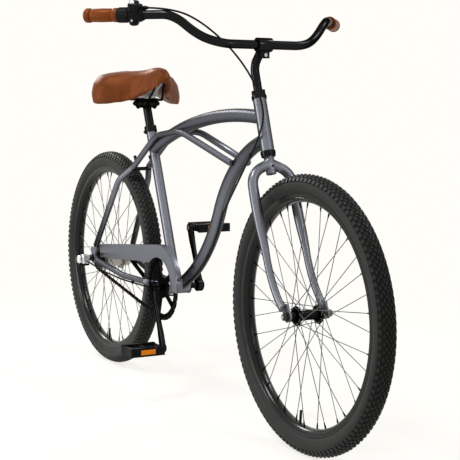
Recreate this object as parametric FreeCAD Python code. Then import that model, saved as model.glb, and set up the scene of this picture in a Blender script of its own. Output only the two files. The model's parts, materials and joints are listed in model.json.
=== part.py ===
"""Beach cruiser bicycle with a three-speed coaster hub, built piece by piece.

Millimetres. X points forward, Y to the rider's left, Z up; the ground is Z = 0 and the origin
lies midway between the two axles. Each piece is written to its own STEP file.
"""
import math
import os

import FreeCAD
import Part
from FreeCAD import Vector

os.makedirs("parts", exist_ok=True)

# Wheelbase, angles and the main layout
WHEELBASE = 1145.0
HEAD_ANGLE = 71.0
SEAT_ANGLE = 68.0
FORK_RAKE = 58.0
BB_DROP = 30.0

# Wheels
RIM_SEAT_RADIUS = 285.0
RIM_DEPTH = 19.0
RIM_WALL = 8.0
RIM_INNER_RADIUS = RIM_SEAT_RADIUS - RIM_DEPTH
TYRE_DEPTH = 48.0
TYRE_RADIUS = RIM_SEAT_RADIUS + TYRE_DEPTH
TYRE_HALF_WIDTH = 24.5
CHAINSTAY_ROOM = 125.5
CHAINSTAY_LENGTH = TYRE_RADIUS + CHAINSTAY_ROOM
RIM_HALF_WIDTH = 17.0
SPOKE_COUNT = 36
SPOKE_RADIUS = 1.0
SPOKE_CROSSES = 3
NIPPLE_SIDE = 3.2
NIPPLE_LENGTH = 13.0
VALVE_RADIUS = 3.2
VALVE_LENGTH = 32.0

# Hubs and axles
FRONT_AXLE_RADIUS = 4.8
REAR_AXLE_RADIUS = 5.0
FRONT_HUB_WIDTH = 100.0
REAR_HUB_WIDTH = 120.0
FRONT_FLANGE_INSET = 20.0
REAR_FLANGE_INSET = 31.0
FRONT_FLANGE_SPACING = FRONT_HUB_WIDTH - 2 * FRONT_FLANGE_INSET
REAR_FLANGE_SPACING = REAR_HUB_WIDTH - 2 * REAR_FLANGE_INSET
FRONT_FLANGE_RADIUS = 23.0
REAR_FLANGE_RADIUS = 38.0
FRONT_BARREL_RADIUS = 12.0
REAR_BARREL_RADIUS = 30.0
FLANGE_THICKNESS = 3.2
FLANGE_EDGE = 3.5
NUT_ACROSS_FLATS = 15.0
NUT_HEIGHT = 9.0
WASHER_RADIUS = 11.0
WASHER_THICKNESS = 2.0
AXLE_STICK_OUT = 3.0

# Clearances and fits
RUN = 0.06
SLIDE = 0.04
GAP = 0.35

# Frame tubes
MAIN_TUBE_RADIUS = 17.5
SEAT_TUBE_RADIUS = 14.3
SEAT_TUBE_LENGTH = 480.0
STAY_RADIUS = 9.0
HEAD_TUBE_RADIUS = 17.0
HEAD_TUBE_BORE = 15.0
HEAD_TUBE_LENGTH = 135.0
TOP_TUBE_SEAT_DROP = 66.25
TOP_TUBE_DROP = 48.0
TOP_TUBE_FIRST_ANGLE = 4.3
DOWN_TUBE_DROP = 106.0
DOWN_TUBE_ARC = 343.0
DOWN_TUBE_FIRST_ANGLE = 13.5
DOWN_TUBE_STEEP_ANGLE = 66.0
BB_SHELL_RADIUS = 20.0
BB_SHELL_BORE = 17.2
BB_SHELL_INSET = 26.0
BB_SHELL_WIDTH = REAR_HUB_WIDTH - 2 * BB_SHELL_INSET
DROPOUT_THICKNESS = 6.0
DROPOUT_ROUND = 17.0
BRIDGE_RADIUS = 5.5
BOSS_RADIUS = 4.6
BOSS_HEIGHT = 14.0
M5_TAP_RADIUS = 2.1
M5_RADIUS = 2.5
M5_HEAD_RADIUS = 4.4
M5_HEAD_HEIGHT = 3.0

# Fork and headset
STEERER_RADIUS = 12.7
STEERER_BORE = 11.2
BLADE_RADIUS = 12.7
BLADE_TIP_RADIUS = 9.0
BLADE_TAPER = 150.0
BLADE_HALF_SPACING = 57.0
BLADE_ARC = 220.0
CROWN_ROOM = 55.0
CROWN_HEIGHT = TYRE_RADIUS + CROWN_ROOM
SHOULDER_FALL = 26.0
SHOULDER_HEIGHT = CROWN_HEIGHT - SHOULDER_FALL
STEERER_FALL = 28.0
STEERER_END = CROWN_HEIGHT - STEERER_FALL
CROWN_STACK = 30.0
HEAD_TUBE_START = CROWN_HEIGHT + CROWN_STACK
CROWN_BEND = 48.0
HEADSET_RADIUS = 19.0
CUP_HEIGHT = 8.0
RACE_HEIGHT = 5.0
LOCKNUT_HEIGHT = 12.0
CROWN_HOLE_RADIUS = 3.1

# Handlebar and stem
BAR_RADIUS = 11.1
BAR_BEND = 75.0
STEM_REACH = 46.0
STEM_RISE = 51.0
BAR_FLAT = 115.0
BAR_ELBOW_OFFSET = Vector(-58, 219, 69)
BAR_END_OFFSET = Vector(-243, 366, 69.5)
GRIP_RADIUS = 16.5
LEFT_GRIP_LENGTH = 128.0
RIGHT_GRIP_LENGTH = 88.0
QUILL_STANDOUT = 87.0
QUILL_TOP = HEAD_TUBE_START + HEAD_TUBE_LENGTH + QUILL_STANDOUT
QUILL_DEPTH = 70.0
STEM_CLAMP_RADIUS = 17.5
STEM_CLAMP_WIDTH = 40.0
TWIST_RING_LENGTH = 26.0
SHIFTER_LENGTH = 44.0
SHIFTER_RADIUS = 19.0

# Drivetrain
CHAIN_PITCH = 12.7
RING_TEETH = 44
SPROCKET_TEETH = 18
CHAIN_INSET = 14.0
CHAIN_LINE = REAR_HUB_WIDTH / 2 - CHAIN_INSET
TOOTH_WIDTH = 2.6
ROLLER_RADIUS = 3.9
CHAIN_INNER_WIDTH = 3.3
LINK_PLATE = 1.0
LINK_HEIGHT = 8.2
CRANK_LENGTH = 170.0
CRANK_ANGLE = -69.0
CRANK_ROOM = 20.0
CRANK_INNER_FACE = CHAIN_LINE + CRANK_ROOM
CRANK_THICKNESS = 14.0
CRANK_BOSS_RADIUS = 18.0
CRANK_EYE_RADIUS = 12.5
SPINDLE_RADIUS = 8.5
PEDAL_WIDTH = 100.0
PEDAL_DEPTH = 74.0
PEDAL_HEIGHT = 24.0
PEDAL_AXLE_RADIUS = 5.5
GUARD_ROOM = 14.0
GUARD_PLANE = CHAIN_LINE + GUARD_ROOM
GUARD_THICKNESS = 1.2
GUARD_OUTER_RADIUS = 122.0
GUARD_INNER_RADIUS = 86.0
GUARD_LIP = 18.0

# Seat
POST_RADIUS = 12.7
POST_LENGTH = 300.0
SADDLE_PIVOT_RISE = 76.0
COLLAR_RADIUS = 18.0
COLLAR_HEIGHT = 18.0
RAIL_RADIUS = 3.5
RAIL_SPACING = 44.0
CABLE_RADIUS = 2.5

X_AXIS = Vector(1, 0, 0)
Y_AXIS = Vector(0, 1, 0)
Z_AXIS = Vector(0, 0, 1)
ORIGIN = Vector(0, 0, 0)


# Small helpers for solids
def unit(v):
    return Vector(v).normalize()


def turned_by(angle):
    """Direction in the XZ plane, degrees up from forward."""
    a = math.radians(angle)
    return Vector(math.cos(a), 0, math.sin(a))


def rod(radius, start, end):
    return Part.makeCylinder(radius, (end - start).Length, start, end - start)


def ring(outer, inner, start, end):
    return rod(outer, start, end).cut(rod(inner, start, end))


def hex_bar(across, start, end):
    """Hexagonal bar from start to end, its width given across the flats."""
    axis = unit(end - start)
    side = unit(axis.cross(X_AXIS if abs(axis.x) < 0.9 else Z_AXIS))
    other = axis.cross(side)
    radius = across / math.sqrt(3)
    corners = []
    for i in range(7):
        a = math.radians(60 * i)
        corners.append(start + side * radius * math.cos(a) + other * radius * math.sin(a))
    return Part.Face(Part.makePolygon(corners)).extrude(end - start)


def square_bar(side_length, start, end, across):
    """Square bar from start to end with two faces square to the across direction."""
    axis = unit(end - start)
    side = unit(axis.cross(across))
    other = axis.cross(side)
    h = side_length / 2
    signs = ((-1, -1), (1, -1), (1, 1), (-1, 1), (-1, -1))
    corners = [start + side * h * i + other * h * j for i, j in signs]
    return Part.Face(Part.makePolygon(corners)).extrude(end - start)


def plate(points, y0, y1):
    """Flat plate with a straight-sided outline in the XZ plane, from y0 to y1."""
    corners = [Vector(x, y0, z) for x, z in points]
    face = Part.Face(Part.makePolygon(corners + corners[:1]))
    return face.extrude(Vector(0, y1 - y0, 0))


def strap(p, q, half_width, y0, y1):
    """Straight flat bar with round ends between two points of the XZ plane."""
    along = unit(Vector(q.x - p.x, 0, q.z - p.z))
    off = Vector(-along.z, 0, along.x) * half_width
    corners = [p + off, q + off, q - off, p - off]
    bar = plate([(c.x, c.z) for c in corners], y0, y1)
    for c in (p, q):
        bar = bar.fuse(rod(half_width, Vector(c.x, y0, c.z), Vector(c.x, y1, c.z)))
    return bar.removeSplitter()


def turned(profile, centre, axis=Y_AXIS):
    """Solid of revolution from (radius, distance along the axis) corners."""
    corners = [Vector(r, 0, h) for r, h in profile]
    face = Part.Face(Part.makePolygon(corners + corners[:1]))
    solid = face.revolve(ORIGIN, Z_AXIS, 360)
    solid.Placement = FreeCAD.Placement(centre, FreeCAD.Rotation(Z_AXIS, axis))
    return solid


def route(points, bends):
    """Wire of straight runs joined by tangent arcs, one bend radius for each inner point."""
    edges = []
    last = points[0]
    for i, radius in enumerate(bends, 1):
        corner = points[i]
        back = unit(points[i - 1] - corner)
        ahead = unit(points[i + 1] - corner)
        half = back.getAngle(ahead) / 2
        reach = radius / math.tan(half)
        inward = unit(back + ahead)
        middle = corner + inward * (radius / math.sin(half) - radius)
        start = corner + back * reach
        finish = corner + ahead * reach
        edges.append(Part.LineSegment(last, start).toShape())
        edges.append(Part.Arc(start, middle, finish).toShape())
        last = finish
    edges.append(Part.LineSegment(last, points[-1]).toShape())
    return Part.Wire(edges)


def swept(wire, radius):
    """Round bar along a wire of straight runs and arcs: cylinders and torus lengths, end to end."""
    bar = None
    for edge in wire.OrderedEdges:
        start = edge.valueAt(edge.FirstParameter)
        end = edge.valueAt(edge.LastParameter)
        if isinstance(edge.Curve, Part.Line):
            piece = rod(radius, start, end)
        else:
            disc = Part.Face(Part.Wire(Part.makeCircle(radius, start, edge.tangentAt(edge.FirstParameter))))
            turn = math.degrees(edge.LastParameter - edge.FirstParameter)
            piece = disc.revolve(edge.Curve.Center, edge.Curve.Axis, turn)
        bar = piece if bar is None else bar.fuse(piece)
    return bar


def pipe(points, bends, radius):
    return swept(route(points, bends), radius)


def mirrored(shape):
    return shape.mirror(ORIGIN, Y_AXIS)


def both_sides(shape):
    return [shape, mirrored(shape)]


def biggest(shape):
    return max(shape.Solids, key=lambda s: s.Volume)


def save(name, *shapes):
    solids = []
    for shape in shapes:
        solids.extend(shape.Solids)
    whole = solids[0] if len(solids) == 1 else Part.makeCompound(solids)
    whole.exportStep("parts/" + name + ".step")


# Fixed points of the layout
REAR_AXLE = Vector(-WHEELBASE / 2, 0, TYRE_RADIUS)
FRONT_AXLE = Vector(WHEELBASE / 2, 0, TYRE_RADIUS)
BB = Vector(-WHEELBASE / 2 + math.sqrt(CHAINSTAY_LENGTH**2 - BB_DROP**2), 0, TYRE_RADIUS - BB_DROP)
HEAD_UP = turned_by(180 - HEAD_ANGLE)
HEAD_AHEAD = turned_by(90 - HEAD_ANGLE)
STEER_FOOT = FRONT_AXLE - HEAD_AHEAD * FORK_RAKE
SEAT_UP = turned_by(180 - SEAT_ANGLE)


def on_steerer(along, ahead=0.0, side=0.0):
    """Point by its height along the steering axis, its distance ahead of it and to the left."""
    return STEER_FOOT + HEAD_UP * along + HEAD_AHEAD * ahead + Y_AXIS * side


def at_side(point, y):
    return Vector(point.x, y, point.z)


def cross_rod(radius, centre, start, end):
    """Rod along the axles' direction through a centre, from one distance to the side to another."""
    return rod(radius, at_side(centre, start), at_side(centre, end))


HEAD_TOP = HEAD_TUBE_START + HEAD_TUBE_LENGTH
SEAT_TOP = BB + SEAT_UP * SEAT_TUBE_LENGTH


# Frame: main tubes
head_outer = rod(HEAD_TUBE_RADIUS, on_steerer(HEAD_TUBE_START), on_steerer(HEAD_TOP))
head_bore = rod(HEAD_TUBE_BORE, on_steerer(HEAD_TUBE_START), on_steerer(HEAD_TOP))
head_tube = head_outer.cut(head_bore)

bb_outer = cross_rod(BB_SHELL_RADIUS, BB, -BB_SHELL_WIDTH / 2, BB_SHELL_WIDTH / 2)
bb_bore = cross_rod(BB_SHELL_BORE, BB, -BB_SHELL_WIDTH / 2, BB_SHELL_WIDTH / 2)
bb_shell = bb_outer.cut(bb_bore)

seat_outer = rod(SEAT_TUBE_RADIUS, BB, SEAT_TOP)
seat_bore = rod(POST_RADIUS + SLIDE, BB, SEAT_TOP)


# Top tube: one long arc from the head tube down to the seat tube
top_start = on_steerer(HEAD_TOP - TOP_TUBE_DROP)
top_end = SEAT_TOP - SEAT_UP * TOP_TUBE_SEAT_DROP
top_inward = turned_by(90 - TOP_TUBE_FIRST_ANGLE) * -1
top_span = top_end - top_start
top_centre = top_start + top_inward * (top_span.dot(top_span) / (2 * top_span.dot(top_inward)))


def arc_point(centre, a, b, share):
    """Point on the arc about centre from a towards b."""
    radius = (a - centre).Length
    angle = (a - centre).getAngle(b - centre) * share
    across = unit((b - centre) - unit(a - centre) * (b - centre).dot(unit(a - centre)))
    return centre + (unit(a - centre) * math.cos(angle) + across * math.sin(angle)) * radius


def arc_edge(centre, a, b):
    return Part.Arc(a, arc_point(centre, a, b, 0.5), b).toShape()


top_wire = Part.Wire([arc_edge(top_centre, top_start, top_end)])
top_tube = biggest(swept(top_wire, MAIN_TUBE_RADIUS).cut(head_outer).cut(seat_outer))

# Down tube: an S of two tangent arcs from the head tube to the bottom bracket
down_start = on_steerer(HEAD_TOP - DOWN_TUBE_DROP)
down_upper = down_start + turned_by(DOWN_TUBE_FIRST_ANGLE - 90) * DOWN_TUBE_ARC


def down_tube_point(angle):
    """Point of the upper arc where the tube falls backwards at this angle."""
    return down_upper + turned_by(90 + angle) * DOWN_TUBE_ARC


down_turn = down_tube_point(DOWN_TUBE_STEEP_ANGLE)
steep_side = turned_by(90 + DOWN_TUBE_STEEP_ANGLE)
to_bb = BB - down_turn
down_lower = down_turn + steep_side * (to_bb.dot(to_bb) / (2 * to_bb.dot(steep_side)))
down_wire = Part.Wire([
    arc_edge(down_upper, down_start, down_turn),
    arc_edge(down_lower, down_turn, BB),
])
down_tube = biggest(swept(down_wire, MAIN_TUBE_RADIUS).cut(head_outer).cut(bb_outer))
seat_tube = biggest(seat_outer.cut(seat_bore).cut(bb_outer).cut(down_tube))

# Rear dropouts: a round plate with a slot open to the rear, two arms and a threaded eyelet
DROPOUT_MIDDLE = -(REAR_HUB_WIDTH + DROPOUT_THICKNESS) / 2
DROPOUT_INNER = -REAR_HUB_WIDTH / 2
DROPOUT_OUTER = DROPOUT_INNER - DROPOUT_THICKNESS
SLOT_CLEARANCE = 0.3
stay_foot = at_side(REAR_AXLE, DROPOUT_MIDDLE) + Vector(18, 0, 41)
chainstay_foot = at_side(REAR_AXLE, DROPOUT_MIDDLE) + Vector(26, 0, -3)
EYELET_ROUND = 7.0
eyelet = REAR_AXLE + Vector(-12, 0, 25)
dropout = cross_rod(DROPOUT_ROUND, REAR_AXLE, DROPOUT_OUTER, DROPOUT_INNER)
for arm in (stay_foot, chainstay_foot):
    dropout = dropout.fuse(strap(REAR_AXLE, arm, 8.5, DROPOUT_OUTER, DROPOUT_INNER))
dropout = dropout.fuse(strap(REAR_AXLE, eyelet, EYELET_ROUND, DROPOUT_OUTER, DROPOUT_INNER))
slot_half = REAR_AXLE_RADIUS + SLOT_CLEARANCE
slot = strap(REAR_AXLE, REAR_AXLE - X_AXIS * 3 * DROPOUT_ROUND, slot_half, DROPOUT_OUTER, DROPOUT_INNER)
eyelet_hole = cross_rod(M5_TAP_RADIUS, eyelet, DROPOUT_OUTER, DROPOUT_INNER)
dropout = biggest(dropout.removeSplitter().cut(slot).cut(eyelet_hole))

# Stay tubes: from the dropouts up past the tyre, in to the seat tube, and on along the top tube
STAY_END_ANGLE = 38.0
STAY_PASS_ANGLE = 57.915
STAY_PASS_INSET = 30.845
STAY_PASS_SIDE = 48.5
STAY_JOIN_ANGLE = 54.162
STAY_JOIN_ROOM = 33.364
STAY_JOIN_SIDE = 24.5
STAY_BENDS = (70.0, 60.0, 140.0, 260.0)
stay_points = [
    stay_foot,
    at_side(REAR_AXLE + turned_by(STAY_PASS_ANGLE) * (TYRE_RADIUS - STAY_PASS_INSET), -STAY_PASS_SIDE),
    at_side(REAR_AXLE + turned_by(STAY_JOIN_ANGLE) * (TYRE_RADIUS + STAY_JOIN_ROOM), -STAY_JOIN_SIDE),
    SEAT_TOP + Vector(90, -24.5, -20),
    arc_point(top_centre, top_start, top_end, 0.63) + Vector(0, -28.5, -14),
    down_tube_point(STAY_END_ANGLE) + Vector(0, -25, 0),
]
stay = pipe(stay_points, STAY_BENDS, STAY_RADIUS)
for other in (dropout, down_tube, top_tube, seat_outer):
    stay = biggest(stay.cut(other))

# Chainstays: bowed out round the tyre, the right one pressed flat beside the chainring
CHAINSTAY_BENDS = (160.0, 160.0)
CHAIN_ROOM = 6.0
CHAINSTAY_PRESS = 3.6
CHAINSTAY_PRESS_LENGTH = 92.0
chainstay_points = [
    chainstay_foot,
    REAR_AXLE + Vector(192, -50, -30),
    BB + Vector(-136, -38, -2),
    BB + Vector(0, -20, 0),
]
chainstay = pipe(chainstay_points, CHAINSTAY_BENDS, STAY_RADIUS)
press_depth = REAR_HUB_WIDTH / 2 - CHAINSTAY_PRESS
press_corner = Vector(REAR_AXLE.x, -press_depth, REAR_AXLE.z - CHAINSTAY_PRESS_LENGTH / 2)
press = Part.makeBox(CHAINSTAY_PRESS_LENGTH, press_depth, CHAINSTAY_PRESS_LENGTH, press_corner)
chainstay = biggest(chainstay.cut(bb_outer).cut(dropout).cut(press))
crimp_corner = BB + Vector(-116, -CHAIN_LINE - 30, -40)
crimp = Part.makeBox(100, 30 + CHAIN_ROOM, 80, crimp_corner)
right_chainstay = biggest(chainstay.cut(crimp))

# Bridges between the stays and the threaded rack bosses on top of them
BRIDGE_ANGLE = 53.416
BRIDGE_ROOM = 29.4
stay_bridge_at = REAR_AXLE + turned_by(BRIDGE_ANGLE) * (TYRE_RADIUS + BRIDGE_ROOM)
chainstay_bridge_at = BB + Vector(-104, 0, -2)
stay_bridge = cross_rod(BRIDGE_RADIUS, stay_bridge_at, -30, 30)
chainstay_bridge = cross_rod(BRIDGE_RADIUS, chainstay_bridge_at, -35, 35)
for tube in (stay, mirrored(stay)):
    stay_bridge = biggest(stay_bridge.cut(tube))
for tube in (right_chainstay, mirrored(chainstay)):
    chainstay_bridge = biggest(chainstay_bridge.cut(tube))
upper_run = unit(stay_points[3] - stay_points[2])
boss_foot = stay_points[2] + upper_run * 24
boss_out = Vector(-upper_run.z, 0, upper_run.x)
boss_top = boss_foot + boss_out * (STAY_RADIUS + BOSS_HEIGHT)
boss = rod(BOSS_RADIUS, boss_foot, boss_top).cut(stay)
boss = biggest(boss.cut(rod(M5_TAP_RADIUS, boss_top - boss_out * (BOSS_HEIGHT - 2), boss_top)))

save("head_tube", head_tube)
save("top_tube", top_tube)
save("down_tube", down_tube)
save("seat_tube", seat_tube)
save("bottom_bracket_shell", bb_shell)
save("stay_tubes", *both_sides(stay))
save("chainstays", right_chainstay, mirrored(chainstay))
save("dropouts", *both_sides(dropout))
save("stay_bridges", stay_bridge, chainstay_bridge)
save("rack_bosses", *both_sides(boss))


# Headset cups in the head tube, and the race and locknut that turn with the fork
def headset_cup(face, outward):
    """Pressed cup: a skirt inside the head tube and a wider lip on its end."""
    bore = STEERER_RADIUS + RUN
    reach = outward * CUP_HEIGHT
    inside = ring(HEAD_TUBE_BORE, bore, on_steerer(face - reach), on_steerer(face))
    lip = ring(HEADSET_RADIUS, bore, on_steerer(face), on_steerer(face + reach))
    return inside.fuse(lip).removeSplitter()


race_top = HEAD_TUBE_START - CUP_HEIGHT - GAP
race_foot = race_top - RACE_HEIGHT
crown_race = ring(HEADSET_RADIUS - 1, STEERER_RADIUS, on_steerer(race_foot), on_steerer(race_top))
locknut_foot = HEAD_TOP + CUP_HEIGHT + GAP
locknut_top = locknut_foot + LOCKNUT_HEIGHT
locknut = hex_bar(2 * HEADSET_RADIUS - 4, on_steerer(locknut_foot), on_steerer(locknut_top))
locknut = locknut.cut(rod(STEERER_RADIUS, on_steerer(locknut_foot), on_steerer(locknut_top)))
headset_cups = [headset_cup(HEAD_TUBE_START, -1), headset_cup(HEAD_TOP, 1)]
save("headset_nuts", crown_race, locknut)

# Fork: steerer, two blades bent at the crown and swept forward to the ends
rake_angle = math.acos(1 - FORK_RAKE / BLADE_ARC)
sweep_start = BLADE_ARC * math.sin(rake_angle)


def blade_point(share):
    """Point on the raked lower blade; 0 where it leaves the straight, 1 at axle height."""
    a = rake_angle * share
    ahead = BLADE_ARC * (1 - math.cos(a))
    return on_steerer(sweep_start - BLADE_ARC * math.sin(a), ahead, -BLADE_HALF_SPACING)


BLADE_END_SHARE = 0.84
blade_tip = blade_point(BLADE_END_SHARE)
taper_start = on_steerer(sweep_start + BLADE_TAPER, 0, -BLADE_HALF_SPACING)
blade_points = [
    on_steerer(CROWN_HEIGHT),
    on_steerer(SHOULDER_HEIGHT, 0, -BLADE_HALF_SPACING),
    taper_start,
]
blade_arc = Part.Wire([Part.Arc(blade_point(0), blade_point(BLADE_END_SHARE / 2), blade_tip).toShape()])
taper = Part.makeCone(BLADE_RADIUS, BLADE_TIP_RADIUS, BLADE_TAPER, taper_start, HEAD_UP * -1)
blade = pipe(blade_points, (CROWN_BEND,), BLADE_RADIUS).fuse(taper).fuse(swept(blade_arc, BLADE_TIP_RADIUS))
FORK_END_INNER = -FRONT_HUB_WIDTH / 2
FORK_END_OUTER = FORK_END_INNER - DROPOUT_THICKNESS
FORK_END_ROUND = 14.0
FORK_END_HALF = 7.5
EYELET_RISE = 23.0
EYELET_SETBACK = 2.0
END_OVERLAP_SHARE = 0.1
fork_eyelet = FRONT_AXLE + HEAD_UP * EYELET_RISE - HEAD_AHEAD * EYELET_SETBACK
end_root = blade_point(BLADE_END_SHARE - END_OVERLAP_SHARE)
fork_end = strap(FRONT_AXLE, end_root, FORK_END_HALF, FORK_END_OUTER, FORK_END_INNER)
fork_end = fork_end.fuse(cross_rod(FORK_END_ROUND, FRONT_AXLE, FORK_END_OUTER, FORK_END_INNER))
fork_end = fork_end.fuse(strap(FRONT_AXLE, fork_eyelet, EYELET_ROUND, FORK_END_OUTER, FORK_END_INNER))
fork_side = blade.fuse(fork_end)
fork_slot = strap(
    FRONT_AXLE, FRONT_AXLE - HEAD_UP * 3 * FORK_END_ROUND, FRONT_AXLE_RADIUS + SLOT_CLEARANCE,
    FORK_END_OUTER, FORK_END_INNER,
)
fork_side = fork_side.cut(fork_slot)
fork_side = fork_side.cut(cross_rod(M5_TAP_RADIUS, fork_eyelet, FORK_END_OUTER, FORK_END_INNER))
steerer_top = locknut_top - 1
fork = rod(STEERER_RADIUS, on_steerer(STEERER_END), on_steerer(steerer_top))
for half in both_sides(biggest(fork_side)):
    fork = fork.fuse(half)
fork = fork.cut(rod(STEERER_BORE, on_steerer(HEAD_TUBE_START), on_steerer(steerer_top)))
fork = fork.cut(rod(STEERER_BORE, on_steerer(STEERER_END), on_steerer(STEERER_END + 10)))
CROWN_HOLE_DROP = 10.0
crown_hole_height = CROWN_HEIGHT - CROWN_HOLE_DROP
CROWN_HOLE_REACH = 40.0
crown_hole_back = on_steerer(crown_hole_height, -CROWN_HOLE_REACH)
crown_hole_front = on_steerer(crown_hole_height, CROWN_HOLE_REACH)
fork = fork.cut(rod(CROWN_HOLE_RADIUS, crown_hole_back, crown_hole_front))
save("fork", biggest(fork))

# Stem: a quill in the steerer, bent forward to a split bar clamp
BAR_CENTRE = on_steerer(QUILL_TOP) + Vector(STEM_REACH, 0, STEM_RISE)
QUILL_BEND = 32.0
CLAMP_SLOT = 2.5
EAR_DEPTH = 33.0
EAR_HALF = 9.0
CLAMP_BOLT_DROP = 25.0
EAR_INSET = 8.0
QUILL_BOLT_FLATS = 9.0
QUILL_BOLT_STANDOUT = 6.0
quill_points = [on_steerer(HEAD_TOP - QUILL_DEPTH), on_steerer(QUILL_TOP), BAR_CENTRE]
stem = pipe(quill_points, (QUILL_BEND,), BAR_RADIUS)
clamp_left = BAR_CENTRE + Y_AXIS * (STEM_CLAMP_WIDTH / 2)
clamp_right = BAR_CENTRE - Y_AXIS * (STEM_CLAMP_WIDTH / 2)
ear_corner = BAR_CENTRE - Vector(EAR_HALF, STEM_CLAMP_WIDTH / 2 - EAR_INSET, EAR_DEPTH)
ears = Part.makeBox(2 * EAR_HALF, STEM_CLAMP_WIDTH - 2 * EAR_INSET, EAR_DEPTH, ear_corner)
stem = stem.fuse(rod(STEM_CLAMP_RADIUS, clamp_right, clamp_left)).fuse(ears)
slit_corner = BAR_CENTRE - Vector(CLAMP_SLOT / 2, STEM_CLAMP_WIDTH / 2, EAR_DEPTH)
slit = Part.makeBox(CLAMP_SLOT, STEM_CLAMP_WIDTH, EAR_DEPTH, slit_corner)
stem = stem.cut(rod(BAR_RADIUS, clamp_right, clamp_left)).cut(slit)
clamp_bolt_at = BAR_CENTRE - Z_AXIS * CLAMP_BOLT_DROP
clamp_bolt = rod(M5_RADIUS, clamp_bolt_at - X_AXIS * EAR_HALF, clamp_bolt_at + X_AXIS * EAR_HALF)
stem = stem.cut(clamp_bolt)
clamp_head_foot = clamp_bolt_at + X_AXIS * EAR_HALF
clamp_head_top = clamp_head_foot + X_AXIS * M5_HEAD_HEIGHT
clamp_bolt = clamp_bolt.fuse(rod(M5_HEAD_RADIUS, clamp_head_foot, clamp_head_top))
quill_bolt_top = QUILL_TOP + BAR_RADIUS + QUILL_BOLT_STANDOUT
quill_bolt = hex_bar(QUILL_BOLT_FLATS, on_steerer(QUILL_TOP), on_steerer(quill_bolt_top))
quill_bolt = biggest(quill_bolt.cut(stem))
save("stem", biggest(stem))
save("stem_bolts", clamp_bolt, quill_bolt)

# Handlebar: level at the stem, rising and swept back to the grips
bar_shoulder = BAR_CENTRE + Y_AXIS * BAR_FLAT
bar_elbow = BAR_CENTRE + BAR_ELBOW_OFFSET
bar_end = BAR_CENTRE + BAR_END_OFFSET
left_bar = [bar_shoulder, bar_elbow, bar_end]
right_bar = [Vector(p.x, -p.y, p.z) for p in reversed(left_bar)]
handlebar = pipe(right_bar + left_bar, (BAR_BEND,) * 4, BAR_RADIUS)
save("handlebar", handlebar)

# Grips, twist ring and shifter body in a row on the bar ends
grip_way = unit(bar_end - bar_elbow)
GRIP_CAP = 5.0
GRIP_BEAD = 1.6
BEAD_WIDTH = 8.0


def grip(length):
    """Left grip: a barrel with a raised bead at each end and a closed cap."""
    r = GRIP_RADIUS
    b = GRIP_RADIUS + GRIP_BEAD
    profile = [
        (BAR_RADIUS, -length), (b, -length), (b, -length + BEAD_WIDTH), (r, -length + BEAD_WIDTH),
        (r, -BEAD_WIDTH), (b, -BEAD_WIDTH), (b, GRIP_CAP - 2), (b - 3, GRIP_CAP),
        (0, GRIP_CAP), (0, 0), (BAR_RADIUS, 0),
    ]
    return turned(profile, bar_end, grip_way)


ring_outer_end = RIGHT_GRIP_LENGTH + GAP
ring_inner_end = ring_outer_end + TWIST_RING_LENGTH
shifter_outer_end = ring_inner_end + GAP
shifter_inner_end = shifter_outer_end + SHIFTER_LENGTH


def on_right_bar(inboard, up=0.0):
    """Point on the right bar end, by its distance inboard of the tip and its height."""
    p = bar_end - grip_way * inboard
    return Vector(p.x, -p.y, p.z + up)


RIB_COUNT = 12
RIB_RADIUS = 1.5
RING_RADIUS = GRIP_RADIUS + 1
ring_start = on_right_bar(ring_outer_end)
ring_stop = on_right_bar(ring_inner_end)
twist_ring = ring(RING_RADIUS, BAR_RADIUS + RUN, ring_start, ring_stop)
right_way = unit(on_right_bar(0) - on_right_bar(1))
rib_out = unit(right_way.cross(Z_AXIS))
rib_up = rib_out.cross(right_way)
for i in range(RIB_COUNT):
    a = 2 * math.pi * i / RIB_COUNT
    off = (rib_out * math.cos(a) + rib_up * math.sin(a)) * RING_RADIUS
    rib = square_bar(2 * RIB_RADIUS, ring_start + off, ring_stop + off, off)
    twist_ring = twist_ring.fuse(rib)
shifter = rod(SHIFTER_RADIUS, on_right_bar(shifter_outer_end), on_right_bar(shifter_inner_end))
# Window housing above the barrel and cable drum below it: radius, height, set in outside and inside
SHIFTER_LOBES = ((13.0, 11.0, 6.0, 4.0), (14.0, -9.0, 8.0, 8.0))
for radius, height, outside, inside in SHIFTER_LOBES:
    lobe_start = on_right_bar(shifter_outer_end + outside, height)
    lobe_stop = on_right_bar(shifter_inner_end - inside, height)
    shifter = shifter.fuse(rod(radius, lobe_start, lobe_stop))
STUB_LENGTH = 10.0
STUB_RISE = 16.5
STUB_RADIUS = 5.0
stub_start = on_right_bar(shifter_inner_end - STUB_LENGTH, STUB_RISE)
stub_end = on_right_bar(shifter_inner_end + STUB_LENGTH, STUB_RISE)
shifter = shifter.fuse(rod(STUB_RADIUS, stub_start, stub_end))
shifter = shifter.cut(rod(BAR_RADIUS, on_right_bar(shifter_outer_end), on_right_bar(shifter_inner_end)))
save("grips", grip(LEFT_GRIP_LENGTH), mirrored(grip(RIGHT_GRIP_LENGTH)))
save("twist_ring", biggest(twist_ring))
save("shifter_body", biggest(shifter))


# Wheels: tyre, rim, crossed spokes with nipples, and a valve
def tyre(centre):
    """Balloon tyre section, as deep as it is wide, seated on the rim."""
    r = TYRE_RADIUS
    w = TYRE_HALF_WIDTH
    depth = TYRE_RADIUS - RIM_SEAT_RADIUS
    half = [
        (RIM_SEAT_RADIUS, RIM_HALF_WIDTH - 1), (RIM_SEAT_RADIUS + 0.36 * depth, w),
        (RIM_SEAT_RADIUS + 0.68 * depth, 0.96 * w), (r - 0.11 * depth, 0.62 * w), (r, 0.2 * w),
    ]
    return turned(half + [(a, -b) for a, b in reversed(half)], centre)


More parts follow.
